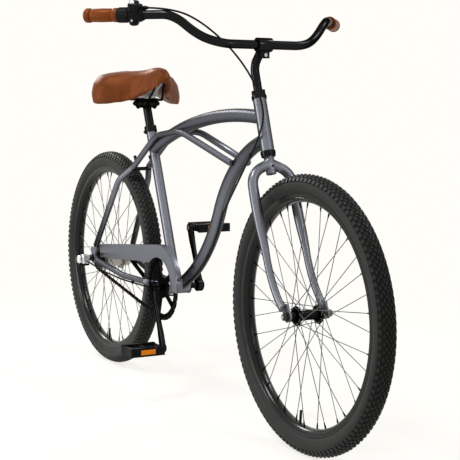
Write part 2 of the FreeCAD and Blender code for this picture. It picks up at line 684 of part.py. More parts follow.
def rim(centre):
    """Hollow-looking box rim: flat bed, straight walls and sloped shoulders."""
    half = [
        (RIM_SEAT_RADIUS, RIM_HALF_WIDTH), (RIM_SEAT_RADIUS - RIM_WALL, RIM_HALF_WIDTH),
        (RIM_INNER_RADIUS, RIM_HALF_WIDTH / 2),
    ]
    return turned(half + [(a, -b) for a, b in reversed(half)], centre)


RIM_HOLE_OFFSET = 3.0
SPOKE_SEAT_GAP = 0.05
OUTER_SPOKE_GAP = 0.9


def round_wheel(centre, radius, angle, y):
    a = math.radians(angle)
    return centre + Vector(radius * math.sin(a), y, radius * math.cos(a))


def spokes(centre, spacing, flange_radius):
    """Half the spokes to each flange, alternately ahead and behind, outside and inside."""
    step = 720 / SPOKE_COUNT
    wires = []
    for side in (-1, 1):
        for k in range(SPOKE_COUNT // 2):
            lead = 1 if k % 2 else -1
            at_rim = step * k + (step / 2 if side > 0 else 0)
            at_hub = at_rim + lead * SPOKE_CROSSES * step
            seat_gap = SPOKE_SEAT_GAP if lead > 0 else OUTER_SPOKE_GAP
            stand_off = FLANGE_THICKNESS / 2 + SPOKE_RADIUS + seat_gap
            hub_y = side * (spacing / 2 - lead * stand_off)
            start = round_wheel(centre, flange_radius - FLANGE_EDGE, at_hub, hub_y)
            end = round_wheel(centre, RIM_INNER_RADIUS - GAP, at_rim, side * RIM_HOLE_OFFSET)
            neck = end - unit(end - start) * NIPPLE_LENGTH
            wire = hex_bar(2 * SPOKE_RADIUS * math.cos(math.pi / 6), start, neck)
            wires.append(wire.fuse(square_bar(NIPPLE_SIDE, neck, end, Y_AXIS)))
    return wires


def valve(centre):
    """Valve stem standing in from the rim between two nipples."""
    step = 360 / SPOKE_COUNT
    foot = round_wheel(centre, RIM_INNER_RADIUS - GAP, 180 + step / 2, 0)
    tip = round_wheel(centre, RIM_INNER_RADIUS - VALVE_LENGTH, 180 + step / 2, 0)
    return rod(VALVE_RADIUS, foot, tip)


def hub_shell(centre, bore, barrel, flange, spacing, left, right):
    """Hub shell with two flanges; left and right are where its ends lie along the axle."""
    t = FLANGE_THICKNESS / 2
    f = spacing / 2
    neck = min(barrel, flange - 8)
    profile = [
        (bore, right), (neck, right), (neck, -f - t), (flange, -f - t), (flange, -f + t), (barrel, -f + t),
        (barrel, f - t), (flange, f - t), (flange, f + t), (neck, f + t), (neck, left), (bore, left),
    ]
    return turned(profile, centre)


def axle_nut(centre, radius, face, side):
    """Washer and hexagon nut on one side, seated on the outer face of a frame or fork end."""
    inner = at_side(centre, side * face)
    middle = at_side(centre, side * (face + WASHER_THICKNESS))
    outer = at_side(centre, side * (face + WASHER_THICKNESS + NUT_HEIGHT))
    nut = rod(WASHER_RADIUS, inner, middle).fuse(hex_bar(NUT_ACROSS_FLATS, middle, outer))
    return nut.cut(rod(radius, inner, outer))


CONE_WIDTH = 4.0
CONE_EXTRA = 4.0
front_end = FRONT_HUB_WIDTH / 2 - CONE_WIDTH - GAP
front_face = FRONT_HUB_WIDTH / 2 + DROPOUT_THICKNESS
front_tip = front_face + WASHER_THICKNESS + NUT_HEIGHT + AXLE_STICK_OUT
front_axle = cross_rod(FRONT_AXLE_RADIUS, FRONT_AXLE, -front_tip, front_tip)
for side in (-1, 1):
    cone_in = at_side(FRONT_AXLE, side * (FRONT_HUB_WIDTH / 2 - CONE_WIDTH))
    cone_out = at_side(FRONT_AXLE, side * FRONT_HUB_WIDTH / 2)
    front_axle = front_axle.fuse(rod(FRONT_AXLE_RADIUS + CONE_EXTRA, cone_in, cone_out))
save("front_tyre", tyre(FRONT_AXLE))
save("front_rim", rim(FRONT_AXLE))
save("front_spokes", *spokes(FRONT_AXLE, FRONT_FLANGE_SPACING, FRONT_FLANGE_RADIUS))
save("front_valve", valve(FRONT_AXLE))
front_hub = hub_shell(
    FRONT_AXLE, FRONT_AXLE_RADIUS + RUN, FRONT_BARREL_RADIUS, FRONT_FLANGE_RADIUS,
    FRONT_FLANGE_SPACING, front_end, -front_end,
)
save("front_hub", front_hub)
save("front_axle", front_axle)
save("front_axle_nuts", *[axle_nut(FRONT_AXLE, FRONT_AXLE_RADIUS, front_face, s) for s in (-1, 1)])

DRIVER_DEPTH = 10.0
DRIVER_INNER = CHAIN_LINE - DRIVER_DEPTH
DRIVER_OUTER = REAR_HUB_WIDTH / 2 - CONE_WIDTH - GAP
ARM_THICKNESS = 3.0
hub_left_end = REAR_HUB_WIDTH / 2 - CONE_WIDTH - ARM_THICKNESS - GAP
rear_face = REAR_HUB_WIDTH / 2 + DROPOUT_THICKNESS
rear_tip = rear_face + WASHER_THICKNESS + NUT_HEIGHT + AXLE_STICK_OUT
rear_axle = cross_rod(REAR_AXLE_RADIUS, REAR_AXLE, -rear_tip, rear_tip)
for side in (-1, 1):
    cone_in = at_side(REAR_AXLE, side * (REAR_HUB_WIDTH / 2 - CONE_WIDTH))
    cone_out = at_side(REAR_AXLE, side * REAR_HUB_WIDTH / 2)
    rear_axle = rear_axle.fuse(rod(REAR_AXLE_RADIUS + CONE_EXTRA, cone_in, cone_out))
rear_hub = hub_shell(
    REAR_AXLE, REAR_AXLE_RADIUS + RUN, REAR_BARREL_RADIUS, REAR_FLANGE_RADIUS,
    REAR_FLANGE_SPACING, hub_left_end, -DRIVER_INNER,
)
save("rear_tyre", tyre(REAR_AXLE))
save("rear_rim", rim(REAR_AXLE))
save("rear_spokes", *spokes(REAR_AXLE, REAR_FLANGE_SPACING, REAR_FLANGE_RADIUS))
save("rear_valve", valve(REAR_AXLE))
save("rear_hub", rear_hub)
save("rear_axle", rear_axle)
save("rear_axle_nuts", *[axle_nut(REAR_AXLE, REAR_AXLE_RADIUS, rear_face, s) for s in (-1, 1)])


# Chain line: find the pitch that closes the chain on both wheels with a whole number of links
axle_span = (REAR_AXLE - BB).Length
chain_way = unit(BB - REAR_AXLE)
chain_up = Vector(-chain_way.z, 0, chain_way.x)


def chain_path(pitch):
    """Radii, run length, tilt and total length of the chain for this pitch."""
    big = RING_TEETH * pitch / (2 * math.pi)
    small = SPROCKET_TEETH * pitch / (2 * math.pi)
    tilt = math.asin((big - small) / axle_span)
    run = axle_span * math.cos(tilt)
    total = 2 * run + big * (math.pi + 2 * tilt) + small * (math.pi - 2 * tilt)
    return big, small, run, tilt, total


link_count = 2 * round(chain_path(CHAIN_PITCH)[4] / CHAIN_PITCH / 2)
pitch = CHAIN_PITCH
for i in range(20):
    pitch = chain_path(pitch)[4] / link_count
ring_radius, sprocket_radius, run, tilt, chain_length = chain_path(pitch)


def about(centre, radius, angle):
    """Point in the chain plane, at an angle from the line of centres."""
    p = centre + (chain_way * math.cos(angle) + chain_up * math.sin(angle)) * radius
    return at_side(p, -CHAIN_LINE)


top_angle = math.pi / 2 + tilt
ring_wrap = ring_radius * (math.pi + 2 * tilt)


def chain_point(s):
    """Point of the chain, s along it from where it leaves the top of the sprocket."""
    if s < run:
        a = about(REAR_AXLE, sprocket_radius, top_angle)
        return a + (about(BB, ring_radius, top_angle) - a) * (s / run)
    if s < run + ring_wrap:
        return about(BB, ring_radius, top_angle - (s - run) / ring_radius)
    if s < 2 * run + ring_wrap:
        a = about(BB, ring_radius, -top_angle)
        return a + (about(REAR_AXLE, sprocket_radius, -top_angle) - a) * ((s - run - ring_wrap) / run)
    return about(REAR_AXLE, sprocket_radius, -top_angle - (s - 2 * run - ring_wrap) / sprocket_radius)


def link_plate(y0, y1, height):
    """One side plate, pointed at both ends, along X with its pins half a pitch from the middle."""
    tip = pitch / 2 + height / 2
    flat = pitch / 2 + height / 6
    h = height / 2
    return plate([(-tip, 0), (-flat, h), (flat, h), (tip, 0), (flat, -h), (-flat, -h)], y0, y1)


half_inner = CHAIN_INNER_WIDTH / 2
inner_plate = link_plate(half_inner, half_inner + LINK_PLATE, LINK_HEIGHT)
inner_link = both_sides(inner_plate)
for end in (-1, 1):
    roller_at = Vector(end * pitch / 2, -half_inner, 0)
    roller_stop = roller_at + Y_AXIS * CHAIN_INNER_WIDTH
    roller = square_bar(ROLLER_RADIUS * math.sqrt(2), roller_at, roller_stop, Vector(1, 0, 1))
    inner_link.append(roller)
OUTER_PLATE_TRIM = 0.8
outer_plate = link_plate(half_inner + LINK_PLATE, half_inner + 2 * LINK_PLATE, LINK_HEIGHT - OUTER_PLATE_TRIM)
links = []
for i in range(link_count):
    a = chain_point(i * pitch)
    b = chain_point((i + 1) % link_count * pitch)
    along = b - a
    lean = FreeCAD.Rotation(Y_AXIS, -math.degrees(math.atan2(along.z, along.x)))
    place = FreeCAD.Placement((a + b) * 0.5, lean)
    pieces = inner_link if i % 2 else both_sides(outer_plate)
    for piece in pieces:
        link = piece.copy()
        link.Placement = place
        links.append(link)
save("chain", *links)


# Toothed wheels: the chain's rollers lie in the gaps between the teeth
TOOTH_HEIGHT = 4.6
TOOTH_TRIM = 1.6
TIP_SHARE = 0.09
ROOT_SHARE = 0.6
SEAT_CLEARANCE = 0.3


def toothed_disc(centre, teeth, radius, first_pin):
    """Toothed plate on the chain line; one gap faces the angle of the first pin."""
    step = 2 * math.pi / teeth
    root = radius - ROLLER_RADIUS - SEAT_CLEARANCE
    seat = (ROLLER_RADIUS + SEAT_CLEARANCE) / radius
    tip_radius = radius + TOOTH_HEIGHT - TOOTH_TRIM
    tip = TIP_SHARE * step
    corners = []
    for i in range(teeth):
        gap = first_pin - i * step
        tooth = gap - step / 2
        flat = ROOT_SHARE * seat
        foot = [(root, gap + flat), (root, gap - flat)]
        head = [(tip_radius, tooth + tip), (tip_radius, tooth - tip)]
        for r, a in foot + head:
            corners.append(about(centre, r, a) - Y_AXIS * (TOOTH_WIDTH / 2))
    return Part.Face(Part.makePolygon(corners + corners[:1])).extrude(Y_AXIS * TOOTH_WIDTH)


ring_pin = top_angle - (math.ceil(run / pitch) * pitch - run) / ring_radius
sprocket_in = 2 * run + ring_wrap
sprocket_pin = -top_angle - (math.ceil(sprocket_in / pitch) * pitch - sprocket_in) / sprocket_radius
ARM_COUNT = 5
ARM_HALF_WIDTH = 8.0
SPIDER_RADIUS = 30.0
RING_BAND = 14.0
chainring = toothed_disc(BB, RING_TEETH, ring_radius, ring_pin)
window = ring(
    ring_radius - RING_BAND, SPIDER_RADIUS,
    at_side(BB, -CHAIN_LINE - TOOTH_WIDTH), at_side(BB, -CHAIN_LINE + TOOTH_WIDTH),
)
for i in range(ARM_COUNT):
    out = turned_by(CRANK_ANGLE + 360 / ARM_COUNT * (i + 0.5))
    arm_near = -CHAIN_LINE + 2 * TOOTH_WIDTH
    arm_far = -CHAIN_LINE - 2 * TOOTH_WIDTH
    arm = strap(BB, BB + out * ring_radius, ARM_HALF_WIDTH, arm_far, arm_near)
    window = window.cut(arm)
spindle_end = CRANK_INNER_FACE + CRANK_THICKNESS - 2
spindle = cross_rod(SPINDLE_RADIUS, BB, -spindle_end, spindle_end)
chainring = chainring.cut(window).cut(spindle)
sprocket = toothed_disc(REAR_AXLE, SPROCKET_TEETH, sprocket_radius, sprocket_pin)
DRIVER_RADIUS = 18.0
driver = cross_rod(DRIVER_RADIUS, REAR_AXLE, -DRIVER_OUTER, -DRIVER_INNER - GAP)
sprocket = sprocket.fuse(driver)
driver_bore = REAR_AXLE_RADIUS + RUN
sprocket = sprocket.cut(cross_rod(driver_bore, REAR_AXLE, -DRIVER_OUTER, -DRIVER_INNER))
save("chainring", biggest(chainring))
save("rear_sprocket", biggest(sprocket))


# Cranks, bolts and pedals
def dog_bone(p, q, rp, rq, y0, y1):
    """Tapered arm: two round ends and the straight sides that touch both."""
    span = (q - p).Length
    lean = math.acos((rp - rq) / span)
    heading = math.atan2(q.z - p.z, q.x - p.x)
    corners = []
    for centre, r, a in ((p, rp, lean), (q, rq, lean), (q, rq, -lean), (p, rp, -lean)):
        corners.append((centre.x + r * math.cos(heading + a), centre.z + r * math.sin(heading + a)))
    arm = plate(corners, y0, y1)
    arm = arm.fuse(cross_rod(rp, p, y0, y1))
    return arm.fuse(cross_rod(rq, q, y0, y1)).removeSplitter()


crank_out = CRANK_INNER_FACE + CRANK_THICKNESS
ring_face = CHAIN_LINE + TOOTH_WIDTH / 2
right_eye = BB + turned_by(CRANK_ANGLE) * CRANK_LENGTH
left_eye = BB - turned_by(CRANK_ANGLE) * CRANK_LENGTH
pedal_inner = crank_out + 4
PEDAL_END_WALL = 8.0
axle_end = pedal_inner + PEDAL_WIDTH - PEDAL_END_WALL - GAP


def crank_bolt(side):
    head = rod(CRANK_BOSS_RADIUS - 7, at_side(BB, side * crank_out), at_side(BB, side * (crank_out + 3)))
    return head.fuse(cross_rod(SPINDLE_RADIUS, BB, side * spindle_end, side * crank_out))


def crank(eye, side, boss_face):
    """Crank arm with a boss reaching in towards the bottom bracket."""
    arm = dog_bone(BB, eye, CRANK_BOSS_RADIUS, CRANK_EYE_RADIUS, side * CRANK_INNER_FACE, side * crank_out)
    arm = arm.fuse(cross_rod(CRANK_BOSS_RADIUS - 2, BB, side * boss_face, side * CRANK_INNER_FACE))
    arm = arm.cut(spindle).cut(crank_bolt(side))
    return biggest(arm.cut(cross_rod(PEDAL_AXLE_RADIUS, eye, side * CRANK_INNER_FACE, side * crank_out)))


def pedal_axle(eye, side):
    return cross_rod(PEDAL_AXLE_RADIUS, eye, side * CRANK_INNER_FACE, side * axle_end)


PEDAL_BARREL = 10.0
PEDAL_RAIL = 12.0
PEDAL_WEB = 8.0
WEB_INSET = 2.0
REFLECTOR_LENGTH = 44.0
REFLECTOR_HEIGHT = 14.0
REFLECTOR_DEPTH = 3.0


def pedal(eye):
    """Right pedal: a barrel on the axle, a rail in front and behind, and webs between them."""
    far = -(pedal_inner + PEDAL_WIDTH)
    body = cross_rod(PEDAL_BARREL, eye, far, -pedal_inner)
    low = eye.z - PEDAL_HEIGHT / 2
    for front in (-1, 1):
        x = eye.x + front * (PEDAL_DEPTH - PEDAL_RAIL) / 2 - PEDAL_RAIL / 2
        body = body.fuse(Part.makeBox(PEDAL_RAIL, PEDAL_WIDTH, PEDAL_HEIGHT, Vector(x, far, low)))
    for share in (0, 0.5, 1):
        y = far + share * (PEDAL_WIDTH - PEDAL_WEB)
        web_corner = Vector(eye.x - PEDAL_DEPTH / 2, y, low + WEB_INSET)
        web = Part.makeBox(PEDAL_DEPTH, PEDAL_WEB, PEDAL_HEIGHT - 2 * WEB_INSET, web_corner)
        body = body.fuse(web)
    bore = cross_rod(PEDAL_AXLE_RADIUS + RUN, eye, far + PEDAL_END_WALL, -pedal_inner)
    body = body.cut(bore)
    for lens in reflectors(eye):
        body = body.cut(lens)
    return biggest(body)


def reflectors(eye):
    """Right pedal reflectors, let into the front and rear rails."""
    y = -(pedal_inner + PEDAL_WIDTH / 2 + REFLECTOR_LENGTH / 2)
    lenses = []
    for front in (-1, 1):
        x = eye.x + front * (PEDAL_DEPTH / 2 - REFLECTOR_DEPTH / 2) - REFLECTOR_DEPTH / 2
        corner = Vector(x, y, eye.z - REFLECTOR_HEIGHT / 2)
        lenses.append(Part.makeBox(REFLECTOR_DEPTH, REFLECTOR_LENGTH, REFLECTOR_HEIGHT, corner))
    return lenses


save("crank_spindle", spindle)
save("right_crank", crank(right_eye, -1, ring_face))
save("left_crank", crank(left_eye, 1, CRANK_INNER_FACE - 14))
save("crank_bolts", crank_bolt(-1), crank_bolt(1))
save("pedal_axles", pedal_axle(right_eye, -1), pedal_axle(left_eye, 1))
save("right_pedal", pedal(right_eye))
save("left_pedal", mirrored(pedal(left_eye)))
save("right_reflectors", *reflectors(right_eye))
save("left_reflectors", *[mirrored(lens) for lens in reflectors(left_eye)])

# Bottom bracket cups, threaded into the shell
CUP_DEPTH = 12.0
CUP_FLANGE = 3.0
shell_end = BB_SHELL_WIDTH / 2
cup = cross_rod(BB_SHELL_BORE, BB, -shell_end, -shell_end + CUP_DEPTH)
cup = cup.fuse(cross_rod(BB_SHELL_RADIUS + 1, BB, -shell_end - CUP_FLANGE, -shell_end))
cup = cup.cut(cross_rod(SPINDLE_RADIUS + RUN, BB, -shell_end - CUP_FLANGE, -shell_end + CUP_DEPTH))
save("bearing_cups", *headset_cups, *both_sides(cup))

# Chain guard: a band over the upper run, round the chainring, with a lip turned in over the chain
GUARD_REAR_TOP = REAR_AXLE + Vector(39.5, 0, 47)
GUARD_REAR_LOW = REAR_AXLE + Vector(50, 0, 8)
GUARD_LOW_BEND = BB + Vector(-131, 0, 61)
GUARD_FRONT_ANGLE = 1.0
GUARD_CUSP_ANGLE = 131.0


def guard_outline(inset, y):
    """Outline wire of the guard's outer edge, moved in by inset: rear top corner to the front end."""
    radius = GUARD_OUTER_RADIUS - inset
    corner = at_side(GUARD_REAR_TOP, y) - Z_AXIS * inset
    centre = at_side(BB, y)
    span = (corner - centre).Length
    heading = math.degrees(math.atan2(corner.z - centre.z, corner.x - centre.x))
    touch_angle = heading - math.degrees(math.acos(radius / span))
    touch = centre + turned_by(touch_angle) * radius
    middle = centre + turned_by((touch_angle + GUARD_FRONT_ANGLE) / 2) * radius
    front = centre + turned_by(GUARD_FRONT_ANGLE) * radius
    edges = [Part.LineSegment(corner, touch).toShape(), Part.Arc(touch, middle, front).toShape()]
    return edges, corner, front


guard_outer = -GUARD_PLANE - GUARD_THICKNESS
edges, rear_corner, front_corner = guard_outline(0, guard_outer)
guard_centre = at_side(BB, guard_outer)
cusp = guard_centre + turned_by(GUARD_CUSP_ANGLE) * GUARD_INNER_RADIUS
arch = guard_centre + turned_by((GUARD_CUSP_ANGLE + GUARD_FRONT_ANGLE) / 2) * GUARD_INNER_RADIUS
front_low = guard_centre + turned_by(GUARD_FRONT_ANGLE) * GUARD_INNER_RADIUS
edges.append(Part.LineSegment(front_corner, front_low).toShape())
edges.append(Part.Arc(front_low, arch, cusp).toShape())
low_corners = [cusp, at_side(GUARD_LOW_BEND, guard_outer), at_side(GUARD_REAR_LOW, guard_outer), rear_corner]
for a, b in zip(low_corners, low_corners[1:]):
    edges.append(Part.LineSegment(a, b).toShape())
guard = Part.Face(Part.Wire(edges)).extrude(Y_AXIS * GUARD_THICKNESS)
lip_out, lip_a, lip_b = guard_outline(0, -GUARD_PLANE)
lip_in, lip_c, lip_d = guard_outline(GUARD_THICKNESS, -GUARD_PLANE)
lip_ends = [Part.LineSegment(lip_a, lip_c).toShape(), Part.LineSegment(lip_b, lip_d).toShape()]
lip_wire = Part.Wire(Part.__sortEdges__(lip_out + lip_ends + lip_in))
guard = guard.fuse(Part.Face(lip_wire).extrude(Y_AXIS * GUARD_LIP))

# Guard brackets: a tab standing on the chainstay and a strap from the down tube to the lip
TAB_THICKNESS = 2.0
TAB_HALF_WIDTH = 7.0
PAD_GAP = 0.15
GUARD_BOLT_ANGLE = 18.0
TAB_LENGTH = 26.0
tab_inner = -GUARD_PLANE + TAB_THICKNESS
rear_bolt = REAR_AXLE + Vector(62, 0, 19)
rear_tab = strap(rear_bolt, rear_bolt - Z_AXIS * TAB_LENGTH, TAB_HALF_WIDTH, -GUARD_PLANE, tab_inner)
rear_tab = biggest(rear_tab.cut(right_chainstay))
front_out = turned_by(GUARD_BOLT_ANGLE)
lip_at = at_side(BB, -GUARD_PLANE + GUARD_LIP / 2) + front_out * GUARD_OUTER_RADIUS
strap_foot = arc_point(down_lower, down_turn, BB, 0.56) - Y_AXIS * (MAIN_TUBE_RADIUS - 3)
pad_top = lip_at + front_out * (PAD_GAP + TAB_THICKNESS)
pad = rod(TAB_HALF_WIDTH, lip_at + front_out * PAD_GAP, pad_top)
front_strap = square_bar(2 * TAB_THICKNESS, strap_foot, pad_top + front_out * TAB_THICKNESS, front_out)
bolt_room = rod(M5_HEAD_RADIUS + GAP, pad_top, pad_top + front_out * 4 * M5_HEAD_HEIGHT)
front_strap = front_strap.cut(bolt_room).fuse(pad).cut(down_tube)
rear_hole = cross_rod(M5_RADIUS, rear_bolt, guard_outer, tab_inner)
front_hole = rod(M5_RADIUS, lip_at - front_out * 3 * TAB_THICKNESS, pad_top)
guard = biggest(guard.cut(rear_hole).cut(front_hole))
front_strap = biggest(front_strap.cut(guard).cut(front_hole))
rear_tab = biggest(rear_tab.cut(rear_hole))
rear_head = cross_rod(M5_HEAD_RADIUS, rear_bolt, guard_outer - M5_HEAD_HEIGHT, guard_outer)
front_head = rod(M5_HEAD_RADIUS, pad_top, pad_top + front_out * M5_HEAD_HEIGHT)
front_bolt = front_head.fuse(front_hole)
save("chain_guard", guard)
save("guard_brackets", rear_tab, front_strap)

# Seat post, collar and its bolt
PIVOT = SEAT_TOP + SEAT_UP * SADDLE_PIVOT_RISE
POST_HEAD_RADIUS = 13.0
POST_HEAD_HALF = 14.0
PIVOT_BOLT_RADIUS = 4.0
COLLAR_LIP = 3.0
EAR_OFFSET = 3.0
COLLAR_EAR_RADIUS = 6.0
COLLAR_EAR_HALF = 9.0
SLIT_REACH = 12.0
COLLAR_BOLT_HEAD = 3.0
COLLAR_SLIT = 2.0
post = rod(POST_RADIUS, PIVOT - SEAT_UP * POST_LENGTH, PIVOT)
post = post.fuse(cross_rod(POST_HEAD_RADIUS, PIVOT, -POST_HEAD_HALF, POST_HEAD_HALF))
post = post.cut(cross_rod(PIVOT_BOLT_RADIUS + RUN, PIVOT, -POST_HEAD_HALF, POST_HEAD_HALF))
save("seat_post", post)
collar_top = SEAT_TOP + SEAT_UP * COLLAR_LIP
collar_foot = collar_top - SEAT_UP * COLLAR_HEIGHT
collar_ear_at = (collar_top + collar_foot) * 0.5 - turned_by(90 - SEAT_ANGLE) * (COLLAR_RADIUS + EAR_OFFSET)
collar_bolt_start = collar_ear_at - Y_AXIS * COLLAR_EAR_HALF
collar_bolt_stop = collar_ear_at + Y_AXIS * COLLAR_EAR_HALF
collar = rod(COLLAR_RADIUS, collar_foot, collar_top)
collar = collar.fuse(rod(COLLAR_EAR_RADIUS, collar_bolt_start, collar_bolt_stop))
collar = collar.cut(rod(SEAT_TUBE_RADIUS, collar_foot, SEAT_TOP))
collar = collar.cut(rod(POST_RADIUS + GAP, collar_foot, collar_top))
slit_way = turned_by(90 - SEAT_ANGLE)
slit_corners = []
for a, b in ((-1, -0.5), (1, -0.5), (1, 0.5), (-1, 0.5), (-1, -0.5)):
    across_slit = slit_way * a * SLIT_REACH + Y_AXIS * b * COLLAR_SLIT
    slit_corners.append(collar_ear_at - SEAT_UP * COLLAR_HEIGHT + across_slit)
slit_box = Part.Face(Part.makePolygon(slit_corners)).extrude(SEAT_UP * 2 * COLLAR_HEIGHT)
collar_bolt = rod(M5_RADIUS, collar_bolt_start, collar_bolt_stop)
collar = biggest(collar.cut(slit_box).cut(collar_bolt))
collar_head_end = collar_bolt_start - Y_AXIS * COLLAR_BOLT_HEAD
collar_bolt = collar_bolt.fuse(rod(M5_HEAD_RADIUS, collar_head_end, collar_bolt_start))
save("seat_collar", collar)

# Saddle: clamp, rails, pan and padded cover
EAR_INNER = POST_HEAD_HALF + GAP
EAR_OUTER = 29.0
EAR_RADIUS = 13.0
RAIL_RISE = 11.0
RAIL_BEND = 12.0
rail_y = RAIL_SPACING / 2
rail_points = [
    PIVOT + Vector(97, -9, 62), PIVOT + Vector(62, -rail_y, RAIL_RISE),
    PIVOT + Vector(-66, -rail_y, RAIL_RISE), PIVOT + Vector(-105, -34, 36),
]
rail = pipe(rail_points, (RAIL_BEND, RAIL_BEND), RAIL_RADIUS)
ear = cross_rod(EAR_RADIUS, PIVOT, -EAR_OUTER, -EAR_INNER)
BLOCK_LENGTH = 36.0
BLOCK_HEIGHT = 10.0
block_corner = PIVOT + Vector(-BLOCK_LENGTH / 2, -EAR_OUTER, RAIL_RISE - BLOCK_HEIGHT / 2)
ear_block = Part.makeBox(BLOCK_LENGTH, EAR_OUTER - EAR_INNER, BLOCK_HEIGHT, block_corner)
groove_start = PIVOT + Vector(-BLOCK_LENGTH, -rail_y, RAIL_RISE)
groove = rod(RAIL_RADIUS, groove_start, groove_start + X_AXIS * 2 * BLOCK_LENGTH)
ear = ear.fuse(ear_block).cut(groove)
ear = biggest(ear.cut(cross_rod(PIVOT_BOLT_RADIUS, PIVOT, -EAR_OUTER, -EAR_INNER)))
BOLT_STANDOUT = 4.0
NUT_FLATS = 13.0
NUT_HEIGHT = 6.0
bolt_reach = EAR_OUTER + BOLT_STANDOUT
nut_reach = EAR_OUTER + NUT_HEIGHT
pivot_bolt = cross_rod(PIVOT_BOLT_RADIUS, PIVOT, -bolt_reach, bolt_reach)
pivot_nuts = []
for side in (-1, 1):
    nut_face = at_side(PIVOT, side * EAR_OUTER)
    pivot_nuts.append(hex_bar(NUT_FLATS, nut_face, at_side(PIVOT, side * nut_reach)))
for nut in pivot_nuts:
    pivot_bolt = pivot_bolt.fuse(nut)

SADDLE_ROUND = 24
SADDLE_SECTIONS = 17

# Saddle stations: place ahead of the pivot, half width, top and bottom above the pivot
SADDLE_STATIONS = (
    (142, 6, 80, 66),
    (130, 18, 92, 58),
    (100, 28, 100, 49),
    (42, 52, 94, 28),
    (-18, 104, 89, 2),
    (-63, 137, 88, -6),
    (-103, 128, 87, 2),
    (-122, 80, 76, 30),
)


def skin(rings):
    """Closed solid through rings of points, each four-sided patch split into two flat facets."""
    faces = []
    for a, b in zip(rings, rings[1:]):
        for i in range(len(a)):
            j = (i + 1) % len(a)
            for corners in ((a[i], b[i], b[j]), (a[i], b[j], a[j])):
                faces.append(Part.Face(Part.makePolygon(corners + corners[:1])))
    for end in (rings[0], rings[-1]):
        faces.append(Part.Face(Part.makePolygon(end + end[:1])))
    shell = Part.makeShell(faces)
    shell.sewShape()
    solid = Part.makeSolid(shell)
    if solid.Volume < 0:
        solid.reverse()
    return solid


def saddle_section(x, half, top, bottom):
    """Points round one section: crowned top, sides drawn in towards the hem, hollow underneath."""
    h = top - bottom
    side = [
        (0.5 * half, top - 0.03 * h), (0.86 * half, top - 0.16 * h), (half, top - 0.5 * h),
        (0.95 * half, bottom), (0.66 * half, bottom + 0.3 * h),
    ]
    points = [(0, top)] + side + [(0, bottom + 0.42 * h)] + [(-y, z) for y, z in reversed(side)]
    curve = Part.BSplineCurve()
    curve.interpolate([PIVOT + Vector(x, y, z) for y, z in points], PeriodicFlag=True)
    return curve.toShape().discretize(SADDLE_ROUND + 1)[:-1]


def smooth_along(sections, count):
    """More sections between the given ones, on smooth curves from nose to tail."""
    lines = []
    for points in zip(*sections):
        curve = Part.BSplineCurve()
        curve.interpolate(list(points))
        lines.append(curve.toShape().discretize(count))
    return [list(section) for section in zip(*lines)]


saddle_cover = skin(smooth_along([saddle_section(*s) for s in SADDLE_STATIONS], SADDLE_SECTIONS))
PAN_THICKNESS = 5.0


def pan_section(x, half, top, bottom):
    y = 0.5 * half
    high = bottom + 0.24 * (top - bottom)
    corners = [(-y, high), (y, high), (y, high - PAN_THICKNESS), (-y, high - PAN_THICKNESS)]
    return [PIVOT + Vector(x, a, b) for a, b in corners]


saddle_pan = skin([pan_section(*s) for s in SADDLE_STATIONS[1:-1]])
for i in range(8):
    saddle_pan.translate(Z_AXIS * (saddle_pan.distToShape(saddle_cover)[0] - GAP))
save("saddle_cover", saddle_cover)
save("saddle_pan", saddle_pan)
save("saddle_rails", *both_sides(biggest(rail.cut(saddle_pan))))
save("saddle_clamp", *both_sides(ear), pivot_bolt)

# Coaster brake arm along the left chainstay, with the strap that ties it there
ARM_HALF = 8.0
arm_inner = REAR_HUB_WIDTH / 2 - CONE_WIDTH - ARM_THICKNESS
arm_tip = REAR_AXLE + Vector(150, 0, -62)
brake_arm = strap(REAR_AXLE, arm_tip, ARM_HALF, arm_inner, arm_inner + ARM_THICKNESS)
brake_arm = brake_arm.fuse(cross_rod(2 * ARM_HALF, REAR_AXLE, arm_inner, arm_inner + ARM_THICKNESS))
brake_arm = brake_arm.cut(cross_rod(REAR_AXLE_RADIUS, REAR_AXLE, arm_inner, arm_inner + ARM_THICKNESS))
STRAP_WIDTH = 14.0
STRAP_THICKNESS = 1.5
stay_run = unit(Vector(chainstay_points[1].x, -chainstay_points[1].y, chainstay_points[1].z)
                - Vector(chainstay_foot.x, -chainstay_foot.y, chainstay_foot.z))
hold_share = (arm_tip.x - chainstay_foot.x) / (chainstay_points[1].x - chainstay_foot.x)
hold = chainstay_foot + (chainstay_points[1] - chainstay_foot) * hold_share
hold = Vector(hold.x, -hold.y, hold.z)
strap_half = stay_run * (STRAP_WIDTH / 2)
brake_strap = rod(STAY_RADIUS + STRAP_THICKNESS, hold - strap_half, hold + strap_half)
brake_strap = brake_strap.fuse(strap(hold, arm_tip, STRAP_WIDTH / 2, arm_inner - STRAP_THICKNESS, arm_inner))
brake_strap = brake_strap.cut(rod(STAY_RADIUS, hold - stay_run * STRAP_WIDTH, hold + stay_run * STRAP_WIDTH))
arm_bolt = cross_rod(M5_RADIUS, arm_tip, arm_inner - STRAP_THICKNESS, arm_inner + ARM_THICKNESS)
arm_head_foot = at_side(arm_tip, arm_inner + ARM_THICKNESS)
arm_screw = arm_bolt.fuse(rod(M5_HEAD_RADIUS, arm_head_foot, arm_head_foot + Y_AXIS * M5_HEAD_HEIGHT))
save("brake_arm", biggest(brake_arm.cut(arm_bolt)))
save("brake_strap", biggest(brake_strap.cut(arm_bolt)))
save("frame_bolts", rear_head.fuse(rear_hole), front_bolt, collar_bolt, arm_screw)

# Shift box on the right axle end
BOX_SIZE = Vector(26, 20, 30)
BOX_SHIFT = Vector(-11, 0, -17)
BOX_CHAMFER = 4.0
box_corner = at_side(REAR_AXLE, -rear_tip - BOX_SIZE.y) + BOX_SHIFT
box = Part.makeBox(BOX_SIZE.x, BOX_SIZE.y, BOX_SIZE.z, box_corner)
box = box.makeChamfer(BOX_CHAMFER, box.Edges)
save("shift_box", box)

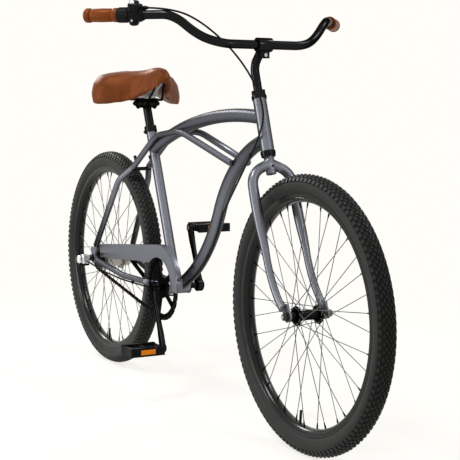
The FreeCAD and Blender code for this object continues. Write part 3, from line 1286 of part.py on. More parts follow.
# Shift cable: lower run held on the frame, upper run free between the shifter and the down tube
CABLE_ROOM = 0.95
CABLE_SHARE = 0.396
CABLE_JOINT = 0.7
down_lower_radius = (BB - down_lower).Length
cable_arc = down_lower_radius + MAIN_TUBE_RADIUS + CABLE_RADIUS + CABLE_ROOM
cable_turn = (down_turn - down_lower).getAngle(BB - down_lower) * CABLE_SHARE


def under_down_tube(share, distance):
    """Point under the lower down tube, by its share of the arc and its distance from the arc's centre."""
    on_tube = arc_point(down_lower, down_turn, BB, share)
    return at_side(down_lower + unit(on_tube - down_lower) * distance, -3)


LOWER_CABLE = [
    on_steerer(HEAD_TUBE_START + 4, -47, -22.7),
    under_down_tube(0, cable_arc),
    under_down_tube(CABLE_SHARE, cable_arc / math.cos(cable_turn)),
    BB + Vector(1, -14, -27),
    BB + Vector(-135, -38, -15.5),
    REAR_AXLE + Vector(182.5, -51, -43),
    REAR_AXLE + Vector(102.5, -66, -32),
    REAR_AXLE + Vector(16, -90, -9),
]
CABLE_BEND_SHARE = 0.895
LOWER_BENDS = (40.0, CABLE_BEND_SHARE * cable_arc, 60.0, 60.0, 60.0, 60.0)
clip_way = unit(LOWER_CABLE[0] - LOWER_CABLE[1])
UPPER_CABLE = [
    on_right_bar(shifter_inner_end + STUB_LENGTH + CABLE_JOINT, STUB_RISE),
    BAR_CENTRE + Vector(-59, -220, 83),
    BAR_CENTRE + Vector(-31, -158, 54),
    BAR_CENTRE + Vector(-13, -80, -12),
    BAR_CENTRE + Vector(17, -34, -90),
    on_steerer(HEAD_TUBE_START + 82, 39, -20),
    on_steerer(HEAD_TUBE_START + 20, -7, -26),
    LOWER_CABLE[0] + clip_way * 14,
    LOWER_CABLE[0] + clip_way * CABLE_JOINT,
]
UPPER_BENDS = (40.0, 60.0, 60.0, 80.0, 60.0, 30.0, 10.0)
lower_wire = route(LOWER_CABLE, LOWER_BENDS)
upper_wire = route(UPPER_CABLE, UPPER_BENDS)
lower_cable = swept(lower_wire, CABLE_RADIUS)
upper_cable = swept(upper_wire, CABLE_RADIUS)
for wire, cable in ((lower_wire, lower_cable), (upper_wire, upper_cable)):
    print("cable volume over section by length:", cable.Volume / (math.pi * CABLE_RADIUS**2 * wire.Length))
save("cable_lower", lower_cable)
save("cable_upper", upper_cable)

# Cable clips: a sleeve round the cable on a foot that stands on the tube
CLIP_LENGTH = 9.0
CLIP_WALL = 1.5
CLIP_FOOT = 2.5
CLIP_REACH = 20.0
stay_clip_at = (LOWER_CABLE[4] + LOWER_CABLE[5]) * 0.5
guide_tube = down_upper + unit(at_side(LOWER_CABLE[0], 0) - down_upper) * DOWN_TUBE_ARC
under_at = under_down_tube(CABLE_SHARE, cable_arc)
under_way = unit((under_at - down_lower).cross(Y_AXIS))
clip_seats = [
    (LOWER_CABLE[0], clip_way, guide_tube, down_tube),
    (under_at, under_way, down_lower, down_tube),
    (stay_clip_at, unit(LOWER_CABLE[5] - LOWER_CABLE[4]), stay_clip_at + Z_AXIS, right_chainstay),
]
clips = []
for at, along, toward, tube in clip_seats:
    sleeve = rod(CABLE_RADIUS + CLIP_WALL, at - along * (CLIP_LENGTH / 2), at + along * (CLIP_LENGTH / 2))
    foot = rod(CLIP_FOOT, at, at + unit(toward - at) * CLIP_REACH)
    clip = sleeve.fuse(foot).cut(lower_cable).cut(upper_cable).cut(tube)
    clips.append(biggest(clip))
save("cable_clips", *clips)
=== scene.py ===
"""Looks of a beach cruiser bicycle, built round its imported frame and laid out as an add-on."""
import json
import math

import bmesh
import bpy
from mathutils import Matrix, Vector


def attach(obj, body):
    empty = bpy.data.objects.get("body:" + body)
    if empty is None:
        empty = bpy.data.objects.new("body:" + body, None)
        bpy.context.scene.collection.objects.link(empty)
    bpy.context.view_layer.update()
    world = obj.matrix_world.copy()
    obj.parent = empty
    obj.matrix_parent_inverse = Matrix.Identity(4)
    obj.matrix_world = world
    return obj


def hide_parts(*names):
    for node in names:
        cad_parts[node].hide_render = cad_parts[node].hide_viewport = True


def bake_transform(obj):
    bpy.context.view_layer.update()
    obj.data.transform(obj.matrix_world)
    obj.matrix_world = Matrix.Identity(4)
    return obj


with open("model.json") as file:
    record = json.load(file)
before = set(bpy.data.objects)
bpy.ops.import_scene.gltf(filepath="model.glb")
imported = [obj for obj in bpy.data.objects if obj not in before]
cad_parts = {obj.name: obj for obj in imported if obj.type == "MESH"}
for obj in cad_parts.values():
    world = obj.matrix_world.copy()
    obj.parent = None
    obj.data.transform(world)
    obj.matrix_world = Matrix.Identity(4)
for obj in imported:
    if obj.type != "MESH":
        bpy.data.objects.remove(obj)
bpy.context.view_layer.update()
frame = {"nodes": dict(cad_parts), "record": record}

bl_info = {
    "name": "Beach Cruiser Looks",
    "version": (1, 0, 0),
    "blender": (4, 5, 0),
    "location": "View3D > Sidebar > Cruiser",
    "description": "Finished pieces, materials and a studio for the beach cruiser bicycle",
    "category": "Object",
}

JOINTS = {joint["name"]: joint for joint in frame["record"]["behaviour"]["joints"]}
FRONT_AXLE = Vector(JOINTS["front_wheel_spin"]["pos_m"])
REAR_AXLE = Vector(JOINTS["rear_wheel_spin"]["pos_m"])
WHEELS = {"front": FRONT_AXLE, "rear": REAR_AXLE}
BOTTOM_BRACKET = Vector(JOINTS["crank_spin"]["pos_m"])
STEERING_WAY = Vector(JOINTS["steering_turn"]["axis"])
SADDLE_PIVOT = Vector(JOINTS["saddle_tilt"]["pos_m"])
BAR_WAY = Vector(JOINTS["shift_twist"]["axis"]).normalized()
BAR_FRONT = Vector((-BAR_WAY.y, BAR_WAY.x, 0)).normalized()
RING_MIDDLE = Vector(JOINTS["shift_twist"]["pos_m"])
AHEAD = Vector((1, 0, 0))
SIDE = Vector((0, 1, 0))
UP = Vector((0, 0, 1))
MM = 0.001


class CruiserWheelSizes(bpy.types.PropertyGroup):
    """Sizes of the tread, rims and spokes"""
    tread_depth: bpy.props.FloatProperty(
        name="Tread Depth", description="Height of the tread blocks", default=0.0024, unit="LENGTH")
    tread_pitches: bpy.props.IntProperty(
        name="Tread Pitches", description="Repeats of the tread round a tyre", default=120)
    rim_inner: bpy.props.FloatProperty(
        name="Rim Inner Radius", description="Where the nipples leave the rim", default=0.266, unit="LENGTH")
    spoke_count: bpy.props.IntProperty(name="Spokes", description="Spokes in each wheel", default=36)
    spoke_crosses: bpy.props.IntProperty(
        name="Crosses", description="Times a spoke crosses others", default=3)
    spoke_radius: bpy.props.FloatProperty(
        name="Spoke Radius", description="Half the thickness of a spoke", default=0.001, unit="LENGTH")
    nipple_length: bpy.props.FloatProperty(
        name="Nipple Length", description="Length of a nipple outside the rim", default=0.013, unit="LENGTH")


class CruiserDriveSizes(bpy.types.PropertyGroup):
    """Sizes of the chain and its toothed wheels"""
    ring_teeth: bpy.props.IntProperty(name="Chainring Teeth", description="Teeth at the cranks", default=44)
    sprocket_teeth: bpy.props.IntProperty(name="Sprocket Teeth", description="Teeth at the hub", default=18)
    pitch: bpy.props.FloatProperty(
        name="Chain Pitch", description="From pin to pin", default=0.0127, unit="LENGTH")
    chain_line: bpy.props.FloatProperty(
        name="Chain Line", description="From the middle plane to the chain", default=0.046, unit="LENGTH")


class CruiserColours(bpy.types.PropertyGroup):
    """Colours of the finishes"""
    frame: bpy.props.FloatVectorProperty(
        name="Frame Paint", description="Metallic grey of the tubes", subtype="COLOR",
        default=(0.186, 0.193, 0.222))
    black: bpy.props.FloatVectorProperty(
        name="Black Paint", description="Black of bar, stem and cranks", subtype="COLOR",
        default=(0.014, 0.014, 0.0144))
    saddle: bpy.props.FloatVectorProperty(
        name="Saddle", description="Tan of the saddle cover", subtype="COLOR", default=(0.138, 0.039, 0.0118))
    grip: bpy.props.FloatVectorProperty(
        name="Grips", description="Tan of the grips", subtype="COLOR", default=(0.178, 0.047, 0.0105))
    tyre: bpy.props.FloatVectorProperty(
        name="Tyre", description="Black of the tyre rubber", subtype="COLOR", default=(0.015, 0.015, 0.0148))
    reflector: bpy.props.FloatVectorProperty(
        name="Reflector", description="Orange of the pedal reflectors", subtype="COLOR",
        default=(1.0, 0.27, 0.006))


class CruiserStage(bpy.types.PropertyGroup):
    """Camera of the studio"""
    camera_place: bpy.props.FloatVectorProperty(
        name="Camera Place", description="Where the camera stands", subtype="TRANSLATION",
        default=(3.0023, -1.5549, 0.8529))
    azimuth: bpy.props.FloatProperty(
        name="Azimuth", description="Camera's turn round the bicycle", subtype="ANGLE",
        default=math.radians(61.21))
    elevation: bpy.props.FloatProperty(
        name="Elevation", description="Camera's tilt down", subtype="ANGLE", default=math.radians(5.29))
    roll: bpy.props.FloatProperty(
        name="Roll", description="Camera's turn about its view", subtype="ANGLE", default=math.radians(0.54))
    lens: bpy.props.FloatProperty(
        name="Lens", description="Focal length on a 36 mm frame", subtype="DISTANCE_CAMERA", default=96.9)
    shift_x: bpy.props.FloatProperty(name="Shift X", description="Framing to the side", default=0.0078)
    shift_y: bpy.props.FloatProperty(name="Shift Y", description="Framing up or down", default=-0.0498)


# Numbers and outlines
def share(value, span):
    """Value as a share of a span, held between nought and one."""
    return min(1.0, max(0.0, value / span))


def metres(points):
    """Pairs of millimetres in metres."""
    return [(a * MM, b * MM) for a, b in points]


def inboard(points):
    """Turned outline on the bar from (radius, distance inboard of the grip's tip) in millimetres."""
    return [(r * MM, -d * MM) for r, d in points]


def both_sides(half):
    """Whole section of a wheel's piece from the half that ends on the middle plane."""
    return half + [(r, -y) for r, y in reversed(half[:-1])]


# Objects and meshes
def add_object(name, data):
    """New object in the scene's own collection."""
    made = bpy.data.objects.new(name, data)
    bpy.context.scene.collection.objects.link(made)
    return made


def smooth(mesh):
    """Smooth shading on every face."""
    mesh.polygons.foreach_set("use_smooth", [True] * len(mesh.polygons))


def add_piece(name, verts, faces, material, crease=35):
    """New mesh object, smooth but for edges sharper than crease degrees."""
    mesh = bpy.data.meshes.new(name)
    mesh.from_pydata([tuple(v) for v in verts], [], faces)
    cleaner = bmesh.new()
    cleaner.from_mesh(mesh)
    bmesh.ops.remove_doubles(cleaner, verts=cleaner.verts, dist=1e-6)
    bmesh.ops.recalc_face_normals(cleaner, faces=cleaner.faces)
    cleaner.to_mesh(mesh)
    cleaner.free()
    smooth(mesh)
    mesh.set_sharp_from_angle(angle=math.radians(crease))
    mesh.materials.append(material)
    return add_object(name, mesh)


def copied(node, name, material, flat=True):
    """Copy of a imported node's mesh with its doubled points joined and, if asked, its flats too."""
    source = frame["nodes"][node]
    mesh = source.data.copy()
    mesh.transform(source.matrix_world)
    cleaner = bmesh.new()
    cleaner.from_mesh(mesh)
    bmesh.ops.remove_doubles(cleaner, verts=cleaner.verts, dist=1e-5)
    if flat:
        bmesh.ops.dissolve_limit(
            cleaner, angle_limit=math.radians(1), verts=cleaner.verts, edges=cleaner.edges)
    cleaner.to_mesh(mesh)
    cleaner.free()
    mesh.name = name
    mesh.materials.clear()
    mesh.materials.append(material)
    return add_object(name, mesh)


def applied(piece):
    """Puts the piece's mesh with its modifiers applied in place of its old one."""
    view = bpy.context.evaluated_depsgraph_get()
    mesh = bpy.data.meshes.new_from_object(piece.evaluated_get(view))
    piece.modifiers.clear()
    piece.data = mesh


def join(parts):
    """One list of vertices and one of faces from several pairs."""
    verts = []
    faces = []
    for part_verts, part_faces in parts:
        start = len(verts)
        verts.extend(part_verts)
        faces.extend([start + i for i in face] for face in part_faces)
    return verts, faces


def lathe(profile, centre, axis, steps, closed=True):
    """Turns (radius, along) points about an axis through centre."""
    turn = UP.rotation_difference(axis).to_matrix()
    count = len(profile)
    verts = []
    faces = []
    for i in range(steps):
        a = 2 * math.pi * i / steps
        for r, h in profile:
            verts.append(centre + turn @ Vector((r * math.cos(a), r * math.sin(a), h)))
    for i in range(steps):
        for j in range(count if closed else count - 1):
            k = (j + 1) % count
            n = (i + 1) % steps
            faces.append([i * count + j, i * count + k, n * count + k, n * count + j])
    return verts, faces


def loft(rings):
    """Skin over rings of points with closed ends."""
    count = len(rings[0])
    verts = [p for ring in rings for p in ring]
    faces = [list(range(count))[::-1], [len(verts) - count + i for i in range(count)]]
    for i in range(len(rings) - 1):
        for j in range(count):
            n = (j + 1) % count
            faces.append([i * count + j, i * count + n, (i + 1) * count + n, (i + 1) * count + j])
    return verts, faces


def tube(points, radius, sides):
    """Round bar along a list of points, with flat ends."""
    rings = []
    across = None
    last = len(points) - 1
    for i, point in enumerate(points):
        ahead = (points[min(i + 1, last)] - points[max(i - 1, 0)]).normalized()
        if across is None:
            across = ahead.orthogonal().normalized()
        across = (across - ahead * across.dot(ahead)).normalized()
        other = ahead.cross(across)
        ring = []
        for k in range(sides):
            a = 2 * math.pi * k / sides
            ring.append(point + (across * math.cos(a) + other * math.sin(a)) * radius)
        rings.append(ring)
    return loft(rings)


def slab(outline, y0, y1, place):
    """Flat plate with an (x, z) outline between two values of y, put in place by a matrix."""
    count = len(outline)
    verts = [place @ Vector((x, y, z)) for y in (y0, y1) for x, z in outline]
    faces = [list(range(count)), [count + i for i in reversed(range(count))]]
    for i in range(count):
        n = (i + 1) % count
        faces.append([i, n, count + n, count + i])
    return verts, faces


def oval_ring(centre, first, second, power, count):
    """Ring of points on a rounded rectangle; first and second are its half axes as vectors."""
    points = []
    for i in range(count):
        a = 2 * math.pi * i / count
        c = math.copysign(abs(math.cos(a)) ** (2 / power), math.cos(a))
        d = math.copysign(abs(math.sin(a)) ** (2 / power), math.sin(a))
        points.append(centre + first * c + second * d)
    return points


POD_RINGS = 12
POD_SIDES = 24
POD_END = 0.999


def pod(start, end, first, second, power=4, swell_end=6):
    """Rounded block from start to end with half axes first and second."""
    rings = []
    for i in range(POD_RINGS + 1):
        t = -math.cos(math.pi * i / POD_RINGS) * POD_END
        size = (1 - abs(t) ** swell_end) ** (1 / swell_end)
        middle = start.lerp(end, (t + 1) / 2)
        rings.append(oval_ring(middle, first * size, second * size, power, POD_SIDES))
    return loft(rings)


def smooth_route(points):
    """Points of a smooth spline whose control points are the route's, given in millimetres."""
    curve = bpy.data.curves.new("route", "CURVE")
    curve.dimensions = "3D"
    curve.resolution_u = 12
    spline = curve.splines.new("NURBS")
    spline.points.add(len(points) - 1)
    for point, place in zip(spline.points, points):
        point.co = (*[c * MM for c in place], 1)
    spline.order_u = 3
    spline.use_endpoint_u = True
    holder = add_object("route", curve)
    view = bpy.context.evaluated_depsgraph_get()
    line = bpy.data.meshes.new_from_object(holder.evaluated_get(view))
    places = [v.co.copy() for v in line.vertices]
    bpy.data.objects.remove(holder)
    return places


def wheel_point(centre, radius, angle, y):
    """Point at a radius and an angle from straight up about a wheel's axle."""
    return centre + Vector((radius * math.sin(angle), y, radius * math.cos(angle)))


# Shader nodes
def set_inputs(node, values):
    """Sets a node's input values by socket name."""
    for socket, value in values.items():
        node.inputs[socket].default_value = value


def add_node(tree, kind, inputs=None, **settings):
    """New shader node with its settings and, by socket name, its input values."""
    node = tree.nodes.new("ShaderNode" + kind)
    for name, value in settings.items():
        setattr(node, name, value)
    set_inputs(node, inputs or {})
    return node


def wire(tree, *links):
    """Joins sockets, each link being (node, output, node, input)."""
    for source, output, target, socket in links:
        tree.links.new(source.outputs[output], target.inputs[socket])


def blend_colours(tree, mode, inputs=None):
    return add_node(tree, "Mix", inputs, data_type="RGBA", blend_type=mode)


# Shared effects, each a shader node group
def effect(name, inputs, outputs):
    """Empty node group with float or colour sockets; returns its tree, its input and output nodes."""
    tree = bpy.data.node_groups.new(name, "ShaderNodeTree")
    for socket, kind, value in inputs:
        made = tree.interface.new_socket(name=socket, in_out="INPUT", socket_type="NodeSocket" + kind)
        made.default_value = value
    for socket, kind in outputs:
        tree.interface.new_socket(name=socket, in_out="OUTPUT", socket_type="NodeSocket" + kind)
    return tree, tree.nodes.new("NodeGroupInput"), tree.nodes.new("NodeGroupOutput")


def build_flake():
    """Metallic paint: tiny flakes that are a little lighter or darker than the coat."""
    tree, inside, out = effect(
        "Metal Flake",
        [("Paint", "Color", (0.5, 0.5, 0.5, 1)), ("Amount", "Float", 0.3), ("Scale", "Float", 1500.0)],
        [("Color", "Color"), ("Rough", "Float")])
    place = add_node(tree, "TexCoord")
    flakes = add_node(tree, "TexVoronoi")
    grey = add_node(tree, "RGBToBW")
    drift = add_node(tree, "TexNoise", {"Scale": 9.0})
    mix = blend_colours(tree, "OVERLAY")
    rough = add_node(tree, "MapRange", {"To Min": 0.29, "To Max": 0.36})
    wire(tree,
         (place, "Object", flakes, "Vector"), (inside, "Scale", flakes, "Scale"),
         (flakes, "Color", grey, "Color"), (grey, "Val", mix, "B"),
         (inside, "Paint", mix, "A"), (inside, "Amount", mix, "Factor"), (mix, "Result", out, "Color"),
         (place, "Object", drift, "Vector"), (drift, "Fac", rough, "Value"), (rough, "Result", out, "Rough"))
    return tree


def build_grain():
    """Fine even grain of moulded or painted surfaces."""
    tree, inside, out = effect(
        "Fine Grain",
        [("Scale", "Float", 600.0), ("Low", "Float", 0.4), ("High", "Float", 0.6)],
        [("Height", "Float"), ("Rough", "Float")])
    place = add_node(tree, "TexCoord")
    grain = add_node(tree, "TexNoise", {"Detail": 3.0})
    wide = add_node(tree, "TexNoise", {"Scale": 14.0})
    rough = add_node(tree, "MapRange")
    wire(tree,
         (place, "Object", grain, "Vector"), (inside, "Scale", grain, "Scale"), (grain, "Fac", out, "Height"),
         (place, "Object", wide, "Vector"), (wide, "Fac", rough, "Value"), (inside, "Low", rough, "To Min"),
         (inside, "High", rough, "To Max"), (rough, "Result", out, "Rough"))
    return tree


def build_hide():
    """Leather: pebbled cells with painted shade in the creases between them, and slow changes of colour."""
    tree, inside, out = effect(
        "Tanned Hide",
        [("Tan", "Color", (0.3, 0.1, 0.03, 1)), ("Crease", "Color", (0.1, 0.03, 0.01, 1)),
         ("Scale", "Float", 420.0)],
        [("Color", "Color"), ("Height", "Float"), ("Rough", "Float")])
    place = add_node(tree, "TexCoord")
    cells = add_node(tree, "TexVoronoi", feature="DISTANCE_TO_EDGE")
    wander = add_node(tree, "TexNoise", {"Scale": 22.0, "Detail": 5.0})
    crease = add_node(tree, "MapRange", {"From Max": 0.12, "To Min": 0.45, "To Max": 0.0})
    crease_shade_mix = blend_colours(tree, "MIX")
    shade = blend_colours(tree, "MULTIPLY", {"Factor": 0.35})
    lift = add_node(tree, "MapRange", {"From Min": 0.3, "From Max": 0.7, "To Min": 0.7, "To Max": 1.25})
    rough = add_node(tree, "MapRange", {"To Min": 0.34, "To Max": 0.52})
    wire(tree,
         (place, "Object", cells, "Vector"), (inside, "Scale", cells, "Scale"),
         (cells, "Distance", crease, "Value"), (cells, "Distance", out, "Height"),
         (crease, "Result", crease_shade_mix, "Factor"), (inside, "Tan", crease_shade_mix, "A"), (inside, "Crease", crease_shade_mix, "B"),
         (place, "Object", wander, "Vector"), (wander, "Fac", lift, "Value"), (wander, "Fac", rough, "Value"),
         (crease_shade_mix, "Result", shade, "A"), (lift, "Result", shade, "B"), (shade, "Result", out, "Color"),
         (rough, "Result", out, "Rough"))
    return tree


EFFECT_BUILDERS = {"Metal Flake": build_flake, "Fine Grain": build_grain, "Tanned Hide": build_hide}
EFFECTS = {}


def use_effect(tree, name, **values):
    """Places a shared effect in a material and sets its inputs."""
    if name not in EFFECTS:
        EFFECTS[name] = EFFECT_BUILDERS[name]()
    return add_node(tree, "Group", values, node_tree=EFFECTS[name])


def bump(tree, texture, output, shader, strength, distance):
    """Raises a shader's surface by a texture's output."""
    node = add_node(tree, "Bump", {"Strength": strength, "Distance": distance})
    wire(tree, (texture, output, node, "Height"), (node, "Normal", shader, "Normal"))


# Finishes
# Shares of a colour for painted shade: at the paint's edges, in leather creases, in tread grooves and on the
# frame's flat parts
EDGE_SHADE = 0.1
CREASE_SHADE = 0.3
GROOVE_SHADE = 0.7
FLAT_SHADE = 0.84
GRAIN_DEPTH = 0.0004
PEBBLE_DEPTH = 0.0008
PRISM_DEPTH = 0.001


def shaded(colour, part):
    """A darker tone of a colour, for painted shade."""
    return [part * c for c in colour]


def new_finish(name, colour, roughness, metallic=0.0):
    """Plain material to build on; returns it with its tree and its shader."""
    material = bpy.data.materials.new(name)
    material.use_nodes = True
    shader = material.node_tree.nodes["Principled BSDF"]
    set_inputs(shader, {"Base Color": (*colour, 1), "Roughness": roughness, "Metallic": metallic})
    return material, material.node_tree, shader


def gunmetal(name, paint, start, end):
    """Grey metallic paint with painted shade at its edges: it darkens as it turns away from the eye, from
    start to end.
    """
    material, tree, shader = new_finish(name, paint, 0.34, 0.55)
    set_inputs(shader, {"Specular Tint": (0.25, 0.25, 0.28, 1), "Specular IOR Level": 0.3})
    flake = use_effect(tree, "Metal Flake", Paint=(*paint, 1), Amount=0.03)
    # Painted shade: the paint's colour is darkened towards the edges of each tube and flat
    turn = add_node(tree, "LayerWeight", {"Blend": 0.45})
    edge_shade_ramp = add_node(
        tree, "MapRange", {"From Min": start, "From Max": end}, interpolation_type="SMOOTHSTEP")
    dark = blend_colours(tree, "MIX", {"B": (*shaded(paint, EDGE_SHADE), 1)})
    wire(tree,
         (turn, "Facing", edge_shade_ramp, "Value"), (edge_shade_ramp, "Result", dark, "Factor"), (flake, "Color", dark, "A"),
         (dark, "Result", shader, "Base Color"), (flake, "Rough", shader, "Roughness"))
    return material


def grained(name, colour, scale, low, high, strength, metallic=0.0, shine=0.5, rim=1.0):
    """One colour with fine grain and slow changes of gloss; rim is what a metal's edge throws back."""
    material, tree, shader = new_finish(name, colour, high, metallic)
    set_inputs(shader, {"Specular IOR Level": shine, "Specular Tint": (rim, rim, rim, 1)})
    grain = use_effect(tree, "Fine Grain", Scale=scale, Low=low, High=high)
    wire(tree, (grain, "Rough", shader, "Roughness"))
    bump(tree, grain, "Height", shader, strength, GRAIN_DEPTH)
    return material


def hide(name, tan, scale, strength):
    """Tan leather with pebbled grain."""
    material, tree, shader = new_finish(name, tan, 0.42, 0.2)
    set_inputs(shader, {"Specular IOR Level": 0.03})
    # Darker tone of the tan for the painted shade in the creases
    crease = (*shaded(tan, CREASE_SHADE), 1)
    grain = use_effect(tree, "Tanned Hide", Tan=(*tan, 1), Crease=crease, Scale=scale)
    wire(tree, (grain, "Color", shader, "Base Color"), (grain, "Rough", shader, "Roughness"))
    bump(tree, grain, "Height", shader, strength, PEBBLE_DEPTH)
    return material


def reflector_lens(colour):
    """Clear orange moulding with small prisms."""
    material, tree, shader = new_finish("reflector", colour, 0.18)
    set_inputs(shader, {"Specular IOR Level": 0.12})
    place = add_node(tree, "TexCoord")
    prisms = add_node(tree, "TexVoronoi", {"Scale": 420.0, "Randomness": 0.0}, distance="CHEBYCHEV")
    shade = add_node(tree, "MapRange", {"From Max": 0.6, "To Min": 1.0, "To Max": 0.55})
    tint = blend_colours(tree, "MULTIPLY", {"Factor": 1.0, "A": (*colour, 1)})
    wire(tree,
         (place, "Object", prisms, "Vector"), (prisms, "Distance", shade, "Value"),
         (shade, "Result", tint, "B"), (tint, "Result", shader, "Base Color"))
    bump(tree, prisms, "Distance", shader, 0.6, PRISM_DEPTH)
    return material


def plain_finishes(colours):
    """What grained takes for each plain finish, in its order."""
    # Painted shade in the tread grooves: the tyre rubber darkened
    groove_painted_shade = shaded(colours.tyre, GROOVE_SHADE)
    return {
        "black": ("black paint", colours.black, 900.0, 0.16, 0.24, 0.03, 0.92, 0.05, 0.3),
        "black metal": ("black anodised", (0.009, 0.009, 0.0094), 700.0, 0.24, 0.36, 0.05, 0.9, 0.05, 0.1),
        "dark steel": ("dark steel", (0.055, 0.053, 0.050), 800.0, 0.30, 0.45, 0.1, 0.9, 0.2, 0.4),
        "chain": ("oiled chain", (0.020, 0.019, 0.018), 800.0, 0.28, 0.4, 0.1, 0.9, 0.2, 0.4),
        "steel": ("zinc steel", (0.42, 0.40, 0.37), 700.0, 0.32, 0.5, 0.1, 0.95),
        "rim": ("black rim", (0.007, 0.007, 0.0072), 600.0, 0.16, 0.24, 0.02, 0.0, 0.17),
        "spoke": ("spoke steel", (0.10, 0.10, 0.10), 500.0, 0.3, 0.42, 0.05, 0.8),
        "silver": ("silver plastic", (0.82, 0.82, 0.82), 500.0, 0.16, 0.26, 0.05, 0.85, 0.5, 0.5),
        "plastic": ("black plastic", (0.008, 0.008, 0.0085), 900.0, 0.28, 0.4, 0.1, 0.5, 0.14, 0.4),
        "grey plastic": ("grey plastic", (0.29, 0.285, 0.275), 500.0, 0.5, 0.65, 0.15),
        "tyre": ("tyre rubber", colours.tyre, 700.0, 0.42, 0.56, 0.3, 0.0, 0.14),
        "groove_painted_shade": ("tread groove", groove_painted_shade, 700.0, 0.6, 0.7, 0.3, 0.0, 0.07),
        "rubber": ("soft black rubber", (0.008, 0.008, 0.008), 800.0, 0.45, 0.6, 0.2, 0.0, 0.07),
        "thread": ("seam thread", (0.10, 0.03, 0.012), 900.0, 0.5, 0.7, 0.3),
    }


FINISHES = {}


def finish(name):
    """A finish by its name, made the first time it is asked for."""
    colours = bpy.context.scene.cruiser_colours
    # The frame grey darkened as painted shade for the guard and dropouts, which have the same paint as the
    # tubes
    flat_grey_with_painted_shade = shaded(colours.frame, FLAT_SHADE)
    makers = {
        # paint and tube paint carry painted shade at their edges, tube paint over a wider band
        "paint": lambda: gunmetal("gunmetal paint", colours.frame, 0.10, 0.80),
        "tube paint": lambda: gunmetal("gunmetal on round tubes", colours.frame, 0.0, 0.64),
        "flat paint with painted shade": lambda: gunmetal("gunmetal on flats with painted shade", flat_grey_with_painted_shade, 0.55, 0.95),
        "saddle": lambda: hide("saddle leather", colours.saddle, 520.0, 0.08),
        "grip": lambda: hide("grip leather", colours.grip, 700.0, 0.2),
        "reflector": lambda: reflector_lens(colours.reflector),
    }
    if name not in FINISHES:
        FINISHES[name] = makers[name]() if name in makers else grained(*plain_finishes(colours)[name])
    return FINISHES[name]


NODE_FINISHES = {
    "paint": ("top_tube", "bottom_bracket_shell", "stay_tubes", "chainstays"),
    "tube paint": ("head_tube", "down_tube", "seat_tube", "fork"),
    "flat paint with painted shade": ("chain_guard", "dropouts"),
    "black": ("stem", "handlebar", "right_crank", "left_crank", "seat_post", "seat_collar", "chainring",
              "bearing_cups", "headset_nuts", "stay_bridges"),
    "rim": ("front_rim", "rear_rim"),
    "black metal": ("rack_bosses", "front_hub", "crank_bolts", "saddle_clamp", "saddle_rails",
                    "guard_brackets", "brake_arm", "brake_strap", "crank_spindle"),
    "chain": ("chain",),
    "dark steel": ("rear_sprocket", "front_axle_nuts", "rear_axle_nuts", "frame_bolts"),
    "steel": ("front_axle", "rear_axle", "stem_bolts", "pedal_axles", "rear_hub"),
    "spoke": ("front_spokes", "rear_spokes"),
    "tyre": ("front_tyre", "rear_tyre"),
    "rubber": ("front_valve", "rear_valve", "cable_upper", "cable_lower", "twist_ring"),
    "plastic": ("shifter_body", "right_pedal", "left_pedal", "cable_clips"),
    "grey plastic": ("saddle_pan",),
    "silver": ("shift_box",),
    "saddle": ("saddle_cover",),
    "grip": ("grips",),
    "reflector": ("right_reflectors", "left_reflectors"),
}


class CRUISER_OT_finish_frame(bpy.types.Operator):
    """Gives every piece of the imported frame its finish"""
    bl_idname = "cruiser.finish_frame"
    bl_label = "Finish Frame"

    def execute(self, context):
        for name, nodes in NODE_FINISHES.items():
            for node in nodes:
                piece = frame["nodes"][node]
                if not piece.material_slots:
                    piece.data.materials.append(finish(name))
                for slot in piece.material_slots:
                    slot.material = finish(name)
        return {"FINISHED"}


# Tyres: a casing, (radius, half width) in mm from the rim to the crown, and rows of tread blocks on it
CASING = ((285.0, 14.5), (288.5, 17.8), (294.0, 21.4), (300.5, 23.6), (307.5, 24.1), (314.5, 22.9),
          (321.0, 19.7), (326.0, 14.8), (329.2, 8.4), (330.6, 0.0))
CROWN_DOWN = metres(reversed(CASING))
GROOVED = metres(CASING[5:])
GROOVE_REACH = 2e-5
WHEEL_STEPS = 144
TREAD_RADIUS = 0.33
BLOCK_ROOT = -0.0008
# Blocks: length, width and how much smaller the top is; ways along the casing are from the crown
CROWN_BLOCK = (0.011, 0.0032)
CROWN_TOP = 0.8
SHOULDER_WAY = 0.0245
SHOULDER_BLOCK = (0.0118, 0.0105)
SHOULDER_TOP = 0.86
OVAL_TOP = 0.78
# Rows of oval blocks on each side: turn in pitches, way, length, width and lean
OVAL_ROWS = (
    (1 / 2, 0.0153, 0.0125, 0.0052, 0.5),
    (1 / 8, 0.0098, 0.0115, 0.0045, -0.5),
    (5 / 8, 0.0045, 0.012, 0.0042, 0.4),
)


def casing_place(way):
    """Radius, y and outward direction on the casing, at a distance from the crown; both in metres."""
    left = abs(way)
    for (r0, y0), (r1, y1) in zip(CROWN_DOWN, CROWN_DOWN[1:]):
        length = math.hypot(r1 - r0, y1 - y0)
        if left <= length:
            break
        left -= length
    t = left / length
    sign = 1 if way >= 0 else -1
    normal = ((y1 - y0) / length, -(r1 - r0) / length * sign)
    return r0 + (r1 - r0) * t, (y0 + (y1 - y0) * t) * sign, normal


def tread_block(centre, angle, way, outline, height, top_size):
    """One block: (along, across) corners on the casing, and a smaller top at its height."""
    base = []
    top = []
    for along, across in outline:
        for corners, scale, lift in ((base, 1.0, BLOCK_ROOT), (top, top_size, height)):
            r, y, normal = casing_place(way + across * scale)
            a = angle + along * scale / TREAD_RADIUS
            corners.append(wheel_point(centre, r + normal[0] * lift, a, y + normal[1] * lift))
    count = len(outline)
    faces = [[count + i for i in range(count)]]
    for i in range(count):
        n = (i + 1) % count
        faces.append([i, n, count + n, count + i])
    return base + top, faces


